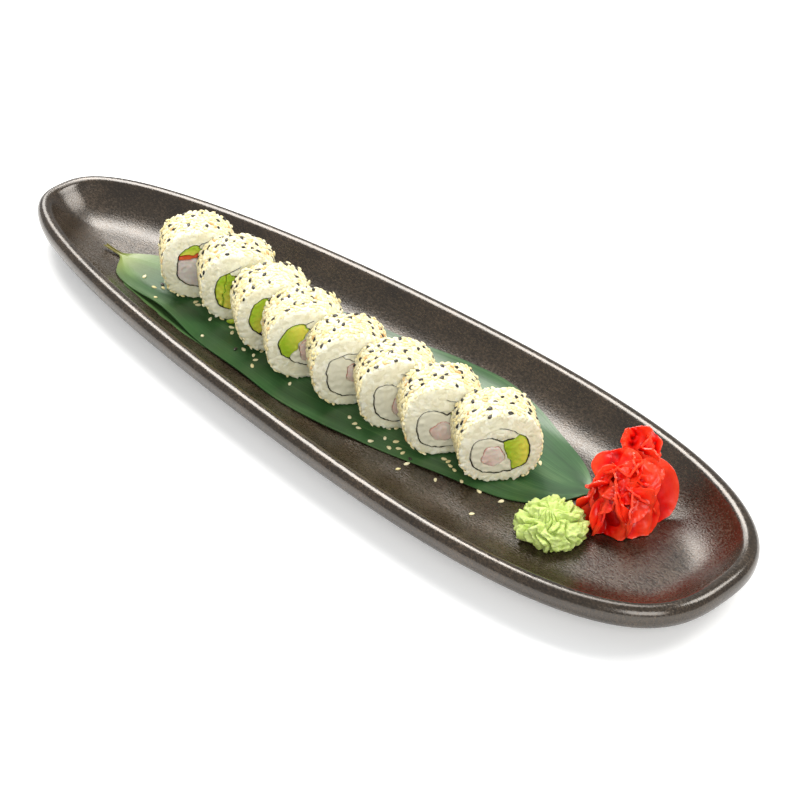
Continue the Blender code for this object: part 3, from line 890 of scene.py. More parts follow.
@dataclass
class EggDish:
    """The long egg-shaped dish. Its outline runs along the crest of the rim."""

    length: float = 485.6
    narrow_half: float = 48.7
    wide_half: float = 81.2
    tip_power: float = 2.33
    tip_root: float = 2.74
    bow: float = 3.6
    crest_height: float = 26.0
    lip_radius: float = 5.0
    lip_slope: float = math.radians(51)
    wall_reach: float = 26.0
    floor_height: float = 9.0
    foot_outside: float = 17.5
    foot_inside: float = 23.0
    floor_ring: float = 33.0  # inset of the first ring, on the flat floor
    wall_shares: tuple[float, ...] = (1.0, 0.86, 0.72, 0.58, 0.45, 0.33, 0.22, 0.12, 0.05)
    lip_bearings: range = range(51, -95, -12)  # degrees from straight up, over the lip and down outside
    underside: tuple[Point, ...] = (
        (-4.75, 18.7), (-4.2, 17.0), (-3.2, 15.2), (-1.8, 13.6), (0.0, 12.3), (4.0, 9.8), (8.0, 7.4),
        (12.0, 5.2), (15.4, 3.7), (16.7, 2.4), (17.3, 1.0),
    )  # inset and height, from the lip to the foot ring
    spine_ends: Point = (44.0, 78.0)  # how far the line that the rings close in on stays off the tips
    end_crowding: float = 60.0  # mm of rim that a radian of turning counts as, where points are placed
    halvings: int = 16  # in the search for the place at an inset
    points: int = 208
    crest: np.ndarray = field(init=False)
    middle: float = field(init=False, default=0.0)

    def __post_init__(self) -> None:
        """Works out the crest and moves it so that the dish's box is centred."""
        crest = self.crest_points(np.linspace(0, 2 * math.pi, 1440, endpoint=False))
        self.middle = float(crest[:, 1].max() + crest[:, 1].min()) / 2
        self.crest = crest - np.array([0, self.middle])

    def crest_points(self, bearings: np.ndarray) -> np.ndarray:
        """Points of the crest, before centring. Bearing 0 is the wide tip.

        Args:
            bearings: in radians.

        Returns:
            The points, a row each.
        """
        cosine = np.cos(bearings)
        half = self.narrow_half + (self.wide_half - self.narrow_half) * (1 + cosine) / 2
        half = half * (1 - np.abs(cosine) ** self.tip_power) ** (1 / self.tip_root)
        across = np.sign(np.sin(bearings)) * half + self.bow * (1 - cosine**2)
        return np.stack([self.length * cosine / 2, across], axis=1)

    def inset_at(self, x: float, y: float) -> float:
        """How far a place in the dish is from the crest."""
        return float(np.hypot(self.crest[:, 0] - x, self.crest[:, 1] - y).min())

    def height(self, inset: float) -> float:
        """Height of the upper surface at an inset from the crest.

        Args:
            inset: in millimetres.

        Returns:
            The height in millimetres.
        """
        lip_end = self.lip_radius * math.sin(self.lip_slope)
        lip_low = self.crest_height - self.lip_radius * (1 - math.cos(self.lip_slope))
        if inset <= lip_end:
            return self.crest_height - self.lip_radius + math.sqrt(self.lip_radius**2 - inset**2)
        power = math.tan(self.lip_slope) * self.wall_reach / (lip_low - self.floor_height)
        share = min((inset - lip_end) / self.wall_reach, 1.0)
        return self.floor_height + (lip_low - self.floor_height) * (1 - share) ** power

    def top(self, x: float, y: float) -> float:
        """Height of the upper surface at a place."""
        return self.height(self.inset_at(x, y))

    def profile(self) -> list[Point]:
        """(inset, height) of the section, from the floor over the lip to the underside.

        Returns:
            The points of the section in order.
        """
        lip_end = self.lip_radius * math.sin(self.lip_slope)
        insets = [lip_end + self.wall_reach * share for share in self.wall_shares]
        section = [(self.floor_ring, self.floor_height)] + [(inset, self.height(inset)) for inset in insets]
        centre = self.crest_height - self.lip_radius
        for degrees in self.lip_bearings:
            turn = math.radians(degrees)
            section.append((self.lip_radius * math.sin(turn), centre + self.lip_radius * math.cos(turn)))
        section += [*self.underside, (self.foot_outside, 0.3), (self.foot_outside + 0.8, 0.0)]
        section += [(self.foot_inside - 0.8, 0.0), (self.foot_inside, 0.4), (self.foot_inside + 0.8, 2.4)]
        section += [(self.foot_inside + 2.0, 3.0)]
        return section

    def ring_place(self, bearing: float, inset: float) -> np.ndarray:
        """The place at an inset, on the line from the crest to the dish's middle line.

        Args:
            bearing: in radians.
            inset: in millimetres.

        Returns:
            Its x and y in millimetres.
        """
        crest = self.crest_points(np.array([bearing]))[0] - np.array([0, self.middle])
        half = self.length / 2
        spine_x = min(max(crest[0], self.spine_ends[0] - half), half - self.spine_ends[1])
        spine = np.array([spine_x, self.bow * (1 - (spine_x / half) ** 2) - self.middle])
        reach = float(np.hypot(*(spine - crest)))
        inward = (spine - crest) / reach
        if inset <= 0:
            return crest + inward * inset
        low, high = 0.0, reach
        for _ in range(self.halvings):
            middle = (low + high) / 2
            place = crest + inward * middle
            if self.inset_at(place[0], place[1]) < inset:
                low = middle
            else:
                high = middle
        return crest + inward * low

    def bearings(self) -> np.ndarray:
        """Bearings along the rim, closer together where it turns more.

        Returns:
            The bearings in radians.
        """
        closed = np.vstack([self.crest, self.crest[:2]])
        sides = np.diff(closed, axis=0)
        heading = np.unwrap(np.arctan2(sides[:, 1], sides[:, 0]))
        steps = np.hypot(*sides.T)[:-1] + self.end_crowding * np.abs(np.diff(heading))
        along = np.concatenate([[0], np.cumsum(steps)])
        wanted = np.linspace(0, along[-1], self.points, endpoint=False)
        return np.interp(wanted, along, np.linspace(0, 2 * math.pi, len(along)))

    def build(self) -> bpy.types.Object:
        """Extrudes ring after ring from the edge of the floor, over the lip and down to the foot.

        Returns:
            The dish.
        """
        dish = add_shape(
            "stoneware_dish",
            bpy.ops.mesh.primitive_circle_add,
            vertices=self.points,
            radius=1,
            fill_type="NGON",
        )
        bearings = self.bearings()
        rings = [
            np.array([(*(self.ring_place(float(b), inset) * MM), height * MM) for b in bearings])
            for inset, height in self.profile()
        ]
        move_points(dish, lambda _: rings[0])
        for before, ring in zip(rings, rings[1:]):
            self.draw_ring(dish, before, ring)
        bpy.ops.object.mode_set(mode="EDIT")
        bpy.ops.mesh.edge_face_add()
        bpy.ops.object.mode_set(mode="OBJECT")
        tidy_normals(dish)
        shade(dish, 60)
        finish_piece(dish, STONEWARE, "stoneware", "plate")
        return dish

    def draw_ring(self, dish: bpy.types.Object, before: np.ndarray, ring: np.ndarray) -> None:
        """Extrudes the last ring's edges and moves the new points to their places.

        Args:
            dish: the dish so far.
            before: the places of the last ring, in order of bearing.
            ring: the places of the new ring, in the same order.
        """
        activate(dish)
        count = len(dish.data.vertices)
        ends = np.empty(len(dish.data.edges) * 2, dtype=np.int64)
        dish.data.edges.foreach_get("vertices", ends)
        ends = ends.reshape(-1, 2)
        chosen = (ends >= count - self.points).all(axis=1)
        bpy.ops.object.mode_set(mode="EDIT")
        bpy.ops.mesh.select_mode(type="EDGE")
        bpy.ops.mesh.select_all(action="DESELECT")
        bpy.ops.object.mode_set(mode="OBJECT")
        dish.data.edges.foreach_set("select", chosen)
        bpy.ops.object.mode_set(mode="EDIT")
        bpy.ops.mesh.extrude_region_move()
        bpy.ops.object.mode_set(mode="OBJECT")
        places = points_of(dish)
        order = [int(np.argmin(np.abs(before - place).sum(axis=1))) for place in places[count:]]
        places[count:] = ring[order]
        move_points(dish, lambda _: places)


# The leaf


@dataclass
class BambooLeaf:
    """The leaf that the pieces stand on, between its near and its far edge."""

    dish: EggDish
    thickness: float = 0.5
    stalk_lift: float = 1.2
    stalk_start: float = -176.0
    stalk_length: float = 16.0
    edge_lift: float = 3.0  # where the near edge stands clear of the dish
    edge_place: float = -116.0
    edge_reach: float = 22.0
    ripple: float = 0.5
    ripple_length: float = 11.0
    under: tuple[float, float] = (0.27, 0.45)  # shares of the near edge between which the lower layer shows
    under_width: float = 3.4  # how far it shows beside the edge
    under_tuck: float = 8.0  # how far it runs on under the leaf
    under_gap: float = 0.06
    under_thickness: float = 0.18
    near: tuple[Point, ...] = (
        (-193.4, -14.2), (-184.7, -13), (-179.6, -13.7), (-172.4, -21.4), (-165, -27.4), (-152.6, -30.8),
        (-126, -32), (-109, -34.1), (-81.6, -37.3), (-47.4, -39.1), (-19.8, -40.6), (11.4, -38.6), (36, -34),
        (62, -28.5), (97, -21), (120, -14), (136, -3), (143, 10), (145, 17),
    )
    far: tuple[Point, ...] = (
        (-193.7, -11.1), (-185, -10.5), (-180, -9), (-174, -3), (-164, 4), (-142, 13), (-118, 21),
        (-92.5, 28.3), (-62.8, 35.6), (-31, 41.7), (-1, 45.8), (29, 50.3), (56, 52.7), (82.5, 48.5),
        (103, 42.5), (120, 37), (132, 31), (140, 25), (145, 19),
    )

    def along(self, edge: Sequence[Point], share: float) -> Vector:
        """A point at a share of an edge's list, rounded between its points.

        Args:
            edge: the edge's points.
            share: 0 at the stalk, 1 at the other end.

        Returns:
            The point.
        """
        spot = share * (len(edge) - 1)
        k = min(int(spot), len(edge) - 2)
        t = spot - k
        before, a, b, after = (Vector(edge[min(max(k + j, 0), len(edge) - 1)]) for j in (-1, 0, 1, 2))
        pull, push = (b - before) / 2, (after - a) / 2
        leaving = a * (2 * t**3 - 3 * t**2 + 1) + pull * (t**3 - 2 * t**2 + t)
        return leaving + b * (3 * t**2 - 2 * t**3) + push * (t**3 - t**2)

    def lift(self, x: float, across: float) -> float:
        """How far the leaf stands clear of the dish.

        Args:
            x: place along the dish.
            across: share of the way across, from the near side.

        Returns:
            The lift in millimetres.
        """
        stalk = self.stalk_lift * max(0.0, (self.stalk_start - x) / self.stalk_length) ** 1.5
        near = max(0.0, 1 - across * 4)
        lifted = self.edge_lift * near * math.exp(-(((x - self.edge_place) / self.edge_reach) ** 2))
        far = max(0.0, across * 4 - 3)
        return stalk + lifted + self.ripple * (near + far) * (1 + math.sin(x / self.ripple_length))

    def place(self, along: float, across: float) -> tuple[float, float, float]:
        """The place of a point of the leaf's lower face.

        Args:
            along: share of the way along.
            across: share of the way across, from the near side.

        Returns:
            The place in metres.
        """
        near, far = self.along(self.near, along), self.along(self.far, along)
        spot = near.lerp(far, across)
        height = self.dish.top(spot.x, spot.y) + GAP + self.lift(spot.x, across)
        return (spot.x * MM, spot.y * MM, height * MM)

    def build(self) -> bpy.types.Object:
        """A fine grid laid between the two edges, then given its thickness.

        Returns:
            The leaf.
        """
        leaf = self.lay_grid("bamboo_leaf", 170, 40, self.place)
        thicken(leaf, self.thickness, 1)
        join([leaf, self.build_under_layer()])
        shade(leaf, 50)
        finish_piece(leaf, LEAF_BLADE, "leaf", "leaf")
        return leaf

    def lay_grid(
        self, title: str, stations: int, strips: int, place: Callable[..., tuple]
    ) -> bpy.types.Object:
        """A grid with a map of its own, laid by a rule.

        Args:
            title: the piece's name.
            stations: how many faces it has along the leaf.
            strips: how many it has across.
            place: gives the place of a share along and a share across.

        Returns:
            The grid.
        """
        piece = add_shape(
            title,
            bpy.ops.mesh.primitive_grid_add,
            x_subdivisions=stations,
            y_subdivisions=strips,
            size=1,
            calc_uvs=True,
        )
        move_points(piece, lambda flat: np.array([place(x + 0.5, y + 0.5) for x, y, _ in flat]))
        return piece

    def under_place(self, along: float, across: float) -> tuple[float, float, float]:
        """The place of a point of the lower layer, from outside the near edge to well under the leaf.

        Args:
            along: share of the way along.
            across: share of the way across, from the near side.

        Returns:
            The place in metres.
        """
        share = self.under[0] + (self.under[1] - self.under[0]) * along
        near, far = self.along(self.near, share), self.along(self.far, share)
        outside = self.under_width * math.sin(math.pi * along) ** 0.8 + 0.4 * math.sin(25 * along)
        spot = near + (far - near).normalized() * ((self.under_tuck + outside) * across - outside)
        return (spot.x * MM, spot.y * MM, (self.dish.top(spot.x, spot.y) + self.under_gap) * MM)

    def build_under_layer(self) -> bpy.types.Object:
        """A thin strip that lies flat on the dish under the raised edge, as pale as the leaf's near end.

        Returns:
            The strip.
        """
        layer = self.lay_grid("under_layer", 60, 8, self.under_place)
        for corner in layer.data.uv_layers[0].data:
            corner.uv = (0.25 + 0.04 * corner.uv[0], 0.02 + 0.1 * corner.uv[1])
        thicken(layer, self.under_thickness, 1)
        return layer


# Sesame


class Seed(Enum):
    """The kinds of seed and the finish of each."""

    PALE = PALE_SEED
    TOASTED = TOASTED_SEED
    BLACK = BLACK_SEED


@dataclass
class Sesame:
    """All the loose seeds of the set, gathered by kind."""

    length: float = 3.3
    width: float = 2.0
    thickness: float = 1.15
    tilt: float = 0.12
    growth: tuple[float, float] = (0.88, 1.1)
    places: dict = field(default_factory=lambda: {kind: [] for kind in Seed})

    def add(self, kind: Seed, place: Vector, up: Vector, dice: random.Random) -> None:
        """Lays one seed on a surface, a little sunk and a little tilted.

        Args:
            kind: the kind of seed.
            place: the point.
            up: the surface's normal.
            dice: the seeded source of chance.
        """
        tilt = Vector([dice.gauss(0, self.tilt) for _ in range(3)])
        laid = lying(place, up + tilt, dice.uniform(0, 2 * math.pi), dice.uniform(*self.growth))
        self.places[kind].append((laid, dice.random()))

    def seed_shape(self) -> bpy.types.Object:
        """One seed: a flat drop, pointed at one end.

        Returns:
            The seed, at the origin.
        """
        seed = add_shape("seed", bpy.ops.mesh.primitive_uv_sphere_add, segments=6, ring_count=5, radius=1)

        def drop(ball: np.ndarray) -> np.ndarray:
            """Draws a ball out into the drop.

            Args:
                ball: points of a ball of radius 1.

            Returns:
                The places in metres.
            """
            along = ball[:, 2]
            taper = 1 - 0.30 * along - 0.12 * along**2
            return np.stack(
                [
                    along * self.length / 2,
                    ball[:, 0] * taper * self.width / 2,
                    ball[:, 1] * taper * self.thickness / 2 + 0.18 * self.thickness,
                ],
                axis=1,
            ) * MM

        move_points(seed, drop)
        return seed

    def build(self) -> None:
        """Makes one piece of each kind of seed."""
        shape = self.seed_shape()
        for kind, laid in self.places.items():
            places, shades = zip(*laid)
            piece = joined(kind.name.lower() + "_sesame", shape, places, shades)
            shade(piece, 60)
            finish_piece(piece, kind.value, "rice")
        bpy.data.objects.remove(shape)


# The pieces of roll


@dataclass(frozen=True)
class Filling:
    """One filling: the part of the core between cuts, each (bearing, low, high) from the core's middle."""

    name: str
    look: Finish
    slot: str
    cuts: tuple = ()
    grain: float = 0.0  # the bearing in which its colour runs


FAR = 99.0


@dataclass
class CutRoll:
    """One cut piece, worked out in its front face: across to the right, up from its foot, depth behind."""

    number: int
    place: Point
    turn: float
    size: tuple[float, float, float]
    core: tuple[float, float, float, float]
    core_tilt: float
    start: float
    dent: float
    overlap: float
    rise: float
    mirrored: bool
    fillings: tuple[Filling, ...]
    shrimp: tuple[float, ...] = ()
    base: float = 10.1
    face_bearing: float = -35.0
    squareness: float = 2.35
    core_squareness: float = 2.6
    nori_thickness: float = 0.5
    dent_centre: float = 30.0
    dent_width: float = 38.0
    steps: int = 120
    rice_sunk: float = 0.85  # how far the body lies under the grains
    outside_grains: int = 600
    face_grains: int = 340
    seed_tries: int = 2100
    black_seeds: int = 46
    seed_arc: tuple[float, float] = (-62, 242)  # degrees round the piece that the seeds cover
    black_arc: tuple[float, float] = (15, 165)
    bare_arc: tuple[float, float] = (40, 150)  # where fewer seeds stick by the front edge
    bare_depth: float = 5.5
    bare_share: float = 0.6
    toasted_share: float = 0.05
    seeds_apart: float = 1.66
    black_apart: float = 3.6
    outside_reach: float = 0.05  # metres from the middle: outside every piece

    def frame(self) -> Matrix:
        """Where the front face stands, its own Z pointing out of it.

        Returns:
            The place as a matrix.
        """
        turn = Euler((math.radians(90), 0, math.radians(90 + self.face_bearing + self.turn)))
        place = Vector((self.place[0], self.place[1], self.base)) * MM
        return Matrix.Translation(place) @ turn.to_matrix().to_4x4()

    @staticmethod
    def oval(half_width: float, half_height: float, power: float, bearing: float) -> float:
        """Radius of a squarish oval at a bearing.

        Args:
            half_width: half its width.
            half_height: half its height.
            power: 2 for an ellipse, more for squarer.
            bearing: in radians.

        Returns:
            The radius.
        """
        across = abs(math.cos(bearing) / half_width) ** power
        up = abs(math.sin(bearing) / half_height) ** power
        return (across + up) ** (-1 / power)

    def rice_outline(self, inset: float) -> list[Point]:
        """The outside of the piece, flat where it stands, with soft lumps.

        Args:
            inset: how far the outline lies inside the surface.

        Returns:
            The outline in the face, in millimetres.
        """
        width, height, _ = self.size
        outline = []
        for k in range(self.steps):
            bearing = 2 * math.pi * (k + 0.5) / self.steps
            radius = self.oval(width / 2, height / 2 + 0.4, self.squareness, bearing) - inset
            spot = Vector((2.2 * math.cos(bearing), 2.2 * math.sin(bearing), 5.0 * self.number))
            radius += 0.45 * noise.noise(spot)
            outline.append((radius * math.cos(bearing), max(radius * math.sin(bearing) + height / 2, inset)))
        return outline

    def nori_point(self, turned: float) -> Vector:
        """A place on the nori's middle line, from the core's middle.

        Args:
            turned: degrees round from where the strip starts.

        Returns:
            The place in millimetres.
        """
        bearing = math.radians(self.start + turned)
        turned_oval = bearing - math.radians(self.core_tilt)
        radius = self.oval(self.core[2], self.core[3], self.core_squareness, turned_oval)
        if turned <= 360:
            radius *= 1 - self.dent * math.exp(-(((turned - self.dent_centre) / self.dent_width) ** 2))
        else:
            radius *= 1 + self.rise * (turned - 360) / self.overlap
        for depth, pace in ((0.9, 3.0), (0.35, 9.0)):
            spot = Vector(
                (pace * math.cos(bearing), pace * math.sin(bearing), self.number + 0.3 * turned / 360)
            )
            radius += depth * noise.noise(spot)
        return Vector((radius * math.cos(bearing), radius * math.sin(bearing)))

    def beside(self, turned: float, distance: float) -> Vector:
        """The place at a distance outside the nori's middle line.

        Args:
            turned: degrees round from where the strip starts.
            distance: in millimetres; less than 0 is inside.

        Returns:
            The place in millimetres.
        """
        before = self.nori_point(max(turned - 2, 0.0))
        after = self.nori_point(min(turned + 2, 360 + self.overlap))
        along = (after - before).normalized()
        return self.nori_point(turned) + Vector((along.y, -along.x)) * distance

    def in_face(self, points: Iterable[Vector]) -> list[Point]:
        """Turns places about the core into places in the face."""
        side = -1 if self.mirrored else 1
        return [(self.core[0] + side * p.x, self.core[1] + p.y) for p in points]

    def turns(self) -> tuple[list[float], list[float]]:
        """The stations round the core, and those of the tail past it.

        Returns:
            Two lists of degrees.
        """
        ring = [360 * k / self.steps for k in range(self.steps + 1)]
        count = max(3, round(self.overlap * self.steps / 360))
        return ring, [360 + self.overlap * (k + 1) / count for k in range(count)]

    def nori_outline(self) -> list[Point]:
        """Both sides of the strip of nori.

        Returns:
            The outline in the face, in millimetres.
        """
        ring, tail = self.turns()
        outer, inner = [], []
        for turned in ring + tail:
            uneven = 0.32 + 0.30 * noise.noise(Vector((turned / 14, self.number, 0)))
            half = min(self.nori_thickness * uneven, self.nori_thickness / 2)
            outer.append(self.beside(turned, half))
            inner.append(self.beside(turned, -half))
        return self.in_face(outer + inner[::-1])

    def hole_outline(self) -> list[Point]:
        """What the rice leaves free for the nori and the core.

        Returns:
            The outline in the face, in millimetres.
        """
        ring, tail = self.turns()
        clear = self.nori_thickness / 2 + 0.05
        outer = [self.beside(t, clear) for t in ring + tail]
        inner = [self.beside(t, -clear) for t in [360.0] + tail]
        return self.in_face(outer + inner[::-1])

    def core_outline(self) -> list[Point]:
        """The room inside the nori.

        Returns:
            The outline in the face, in millimetres.
        """
        ring, _ = self.turns()
        clear = self.nori_thickness / 2 + 0.04
        points = [self.beside(t, -clear) for t in ring[:-1]]
        along = (self.nori_point(2) - self.nori_point(0)).normalized()
        points += [self.beside(0, side) - along * 0.25 for side in (clear, -clear)]
        return self.in_face(points)

    def filling_outline(self, filling: Filling) -> list[Point]:
        """The core's outline, cut straight where the fillings meet.

        Args:
            filling: what it is.

        Returns:
            The outline in the face, in millimetres.
        """
        outline = self.core_outline()
        for bearing, low, high in filling.cuts:
            if high < FAR:
                outline = self.clip(outline, bearing, high - 0.05, True)
            if low > -FAR:
                outline = self.clip(outline, bearing, low + 0.05, False)
        return outline

    def clip(self, outline: list[Point], bearing: float, limit: float, below: bool) -> list[Point]:
        """Keeps the part of an outline on one side of a straight cut.

        Args:
            outline: what is cut.
            bearing: that the cut looks to, in degrees.
            limit: its distance from the core's middle.
            below: whether the part nearer than the limit is kept.

        Returns:
            The outline in the face, in millimetres.
        """
        normal = Vector((math.cos(math.radians(bearing)), math.sin(math.radians(bearing))))
        middle = Vector(self.core[:2])
        sign = 1 if below else -1
        depth = [sign * (limit - (Vector(p) - middle).dot(normal)) for p in outline]
        kept: list[Point] = []
        cuts: list[int] = []
        for k, point in enumerate(outline):
            last, was = outline[k - 1], depth[k - 1]
            if (depth[k] >= 0) != (was >= 0):
                cuts.append(len(kept))
                kept.append(tuple(Vector(last).lerp(Vector(point), was / (was - depth[k]))))
            if depth[k] >= 0:
                kept.append(point)
        if len(cuts) != 2:
            return kept
        first, second = cuts if cuts[1] == cuts[0] + 1 else cuts[::-1]
        ragged = self.ragged(Vector(kept[first]), Vector(kept[second]), normal)
        return kept[: first + 1] + ragged + kept[first + 1 :]

    def ragged(self, start: Vector, end: Vector, normal: Vector) -> list[Point]:
        """The soft, uneven line where two fillings press on each other.

        Args:
            start: where the line starts.
            end: where it ends.
            normal: of the straight cut.

        Returns:
            The points between both ends.
        """
        line = []
        for k in range(1, 14):
            share = k / 14
            spot = start.lerp(end, share)
            swell = math.sin(math.pi * share)
            push = swell**0.5 * noise.noise(Vector((spot.x * 0.3, spot.y * 0.3, self.number)))
            push += 0.4 * noise.noise(Vector((spot.x * 0.9, spot.y * 0.9, self.number))) * swell
            line.append(tuple(spot + normal * 1.5 * push))
        return line

    def shrimp_outline(self, clear: float = 0.0) -> list[Point]:
        """The cut end of a whole shrimp, with three soft lobes.

        Args:
            clear: room left round it.

        Returns:
            The outline in the face, in millimetres.
        """
        across, up, half_width, half_height = self.shrimp
        points = []
        for k in range(48):
            bearing = 2 * math.pi * k / 48
            bump = 1 + 0.06 * math.sin(3 * bearing + across) + 0.05 * math.sin(5 * bearing + 2 * up)
            x = self.core[0] + across + (half_width * bump + clear) * math.cos(bearing)
            y = self.core[1] + up + (half_height * bump + clear) * math.sin(bearing)
            points.append((x, y))
        return points

    def build(self, sesame: Sesame, grain: bpy.types.Object, dice: random.Random) -> None:
        """Makes the rice, the nori and the fillings, and strews the seeds.

        Args:
            sesame: where the seeds are gathered.
            grain: the grain that is copied.
            dice: the seeded source of chance.
        """
        rice = self.build_rice(grain, dice)
        self.strew(rice, sesame, dice)
        self.build_nori()
        for filling in self.fillings:
            self.build_filling(filling)
        if self.shrimp:
            piece = prism(self.name("shrimp"), self.shrimp_outline(), 0.1, -self.size[2] - 0.1)
            self.dress_filling(self.soften(piece), Filling("shrimp", SHRIMP, "shrimp", grain=225))

    def name(self, part: str) -> str:
        """The name of one of its parts, as the solid's."""
        return f"roll_{self.number}_{part}"

    def build_rice(self, grain: bpy.types.Object, dice: random.Random) -> bpy.types.Object:
        """A body with real grains pressed into it, fused, cut flat at both faces and opened for the core.

        Args:
            grain: the grain that is copied.
            dice: the seeded source of chance.

        Returns:
            The rice in its place.
        """
        thickness = self.size[2]
        sunk = self.rice_sunk
        rice = prism("rice_body", self.rice_outline(sunk), -sunk, sunk - thickness, 0.8)
        places = self.places_outside(surface_of(rice), dice) + self.places_in_faces(dice)
        join([rice, joined("rice_grains", grain, places)])
        fuse(rice, 0.48, 1)
        cut(rice, prism("core_cutter", self.hole_outline(), 3.0, -3.0 - thickness))
        cut(rice, self.knife_block(), "INTERSECT")
        rice.name = self.name("rice")
        settle(rice, self.frame())
        shade(rice, 55)
        finish_piece(rice, RICE, "rice", self.name("rice"))
        return rice

    def places_outside(self, surface: BVHTree, dice: random.Random) -> list[Matrix]:
        """Where the grains lie all round the piece.

        Args:
            surface: search tree of the body.
            dice: the seeded source of chance.

        Returns:
            A place for each grain, in the face's own coordinates.
        """
        _, height, thickness = self.size
        places = []
        for k in range(self.outside_grains):
            bearing = math.radians(360 * k * TURN_SHARE)
            depth = (0.5 + (thickness - 1.0) * ((k * DEPTH_SHARE) % 1)) * MM
            out = Vector((math.cos(bearing), math.sin(bearing), 0))
            centre = Vector((0, height / 2 * MM, -depth))
            hit, normal, _, _ = surface.ray_cast(centre + out * self.outside_reach, -out)
            if hit:
                spot = hit - normal * 0.02 * MM
                places.append(lying(spot, normal, dice.uniform(0, math.pi), dice.uniform(0.85, 1.05)))
        return places

    def places_in_faces(self, dice: random.Random) -> list[Matrix]:
        """Where the grains show in both cut faces.

        Args:
            dice: the seeded source of chance.

        Returns:
            A place for each grain, in the face's own coordinates.
        """
        width, height, thickness = self.size
        places = []
        for k in range(self.face_grains):
            bearing = math.radians(360 * k * TURN_SHARE)
            radius = math.sqrt(0.12 + 0.88 * ((k * DEPTH_SHARE) % 1))
            for side, normal in ((-0.82, Vector((0, 0, 1))), (0.82 - thickness, Vector((0, 0, -1)))):
                reach = self.oval(width / 2 - 0.9, height / 2 - 0.9, self.squareness, bearing) * radius
                spot = Vector((reach * math.cos(bearing), height / 2 + reach * math.sin(bearing), side)) * MM
                lean = Vector((dice.gauss(0, 0.25), dice.gauss(0, 0.25), 0)) + normal
                places.append(lying(spot, lean, dice.uniform(0, math.pi), dice.uniform(0.8, 1.0)))
        return places

    def knife_block(self) -> bpy.types.Object:
        """The room between the two knife cuts and above the leaf.

        Returns:
            The block, in the face's own coordinates.
        """
        thickness = self.size[2]
        block = add_shape(
            "knife_block",
            bpy.ops.mesh.primitive_cube_add,
            size=1,
            location=(0, 40 * MM, -thickness / 2 * MM),
            scale=(0.08, 0.08, thickness * MM),
        )
        bpy.ops.object.transform_apply(location=True, rotation=True, scale=True)
        return block

    def build_nori(self) -> None:
        """The strip of nori round the core."""
        nori = prism(self.name("nori"), self.nori_outline(), -0.35, 0.35 - self.size[2])
        tidy_normals(nori)
        settle(nori, self.frame())
        shade(nori, 40)
        nori.name = self.name("nori")
        finish_piece(nori, NORI, "nori", self.name("nori"))

    def build_filling(self, filling: Filling) -> None:
        """One filling, with room for the shrimp where there is one.

        Args:
            filling: what it is.
        """
        piece = prism(self.name(filling.name), self.filling_outline(filling), 0.0, -self.size[2])
        if self.shrimp:
            cut(piece, prism("cutter", self.shrimp_outline(0.05), 1.0, -1.0 - self.size[2]))
        self.dress_filling(self.soften(piece), filling)

    def soften(self, piece: bpy.types.Object) -> bpy.types.Object:
        """Turns a sharp prism into a soft, slightly uneven body.

        Args:
            piece: the prism.

        Returns:
            The same piece.
        """
        fuse(piece, 0.6, 2)

        def dimple(flat: np.ndarray) -> np.ndarray:
            """Raises and lowers the faces in soft patches.

            Args:
                flat: the places.

            Returns:
                The new places.
            """
            lifted = flat.copy()
            for row in lifted:
                spot = (row[0] / MM / 2.4, row[1] / MM / 2.4, self.number + row[2] / MM / 9)
                row[2] += 0.5 * MM * noise.noise(Vector(spot))
            return lifted

        move_points(piece, dimple)
        return piece

    def dress_filling(self, piece: bpy.types.Object, filling: Filling) -> None:
        """Writes the face map, puts the filling in place and dresses it.

        Args:
            piece: the filling, in the face's own coordinates.
            filling: what it is.
        """
        whole_shrimp = self.shrimp and filling.name == "shrimp"
        outline = np.array(self.shrimp_outline() if whole_shrimp else self.filling_outline(filling))
        places = points_of(piece)[:, :2] / MM
        grain = math.radians(filling.grain)
        heading = np.array([math.cos(grain), math.sin(grain)])
        reach = outline @ heading
        across = (places @ heading - reach.min()) / max(reach.max() - reach.min(), 0.1)
        ends = np.roll(outline, -1, axis=0) - outline
        length = np.maximum((ends**2).sum(axis=1), 1e-9)
        share = np.clip(((places[:, None] - outline[None]) * ends[None]).sum(axis=2) / length, 0, 1)
        near = outline[None] + share[..., None] * ends[None]
        depth = np.hypot(*np.moveaxis(places[:, None] - near, 2, 0)).min(axis=1) / 10
        layer = piece.data.uv_layers.new(name="face")
        owner = np.empty(len(piece.data.loops), dtype=np.int64)
        piece.data.loops.foreach_get("vertex_index", owner)
        face_map = np.stack([across[owner], depth[owner]], axis=1)
        layer.data.foreach_set("uv", face_map.astype(np.float32).reshape(-1))
        settle(piece, self.frame())
        shade(piece, 50)
        piece.name = self.name(filling.name)
        finish_piece(piece, filling.look, filling.slot, self.name(filling.name))

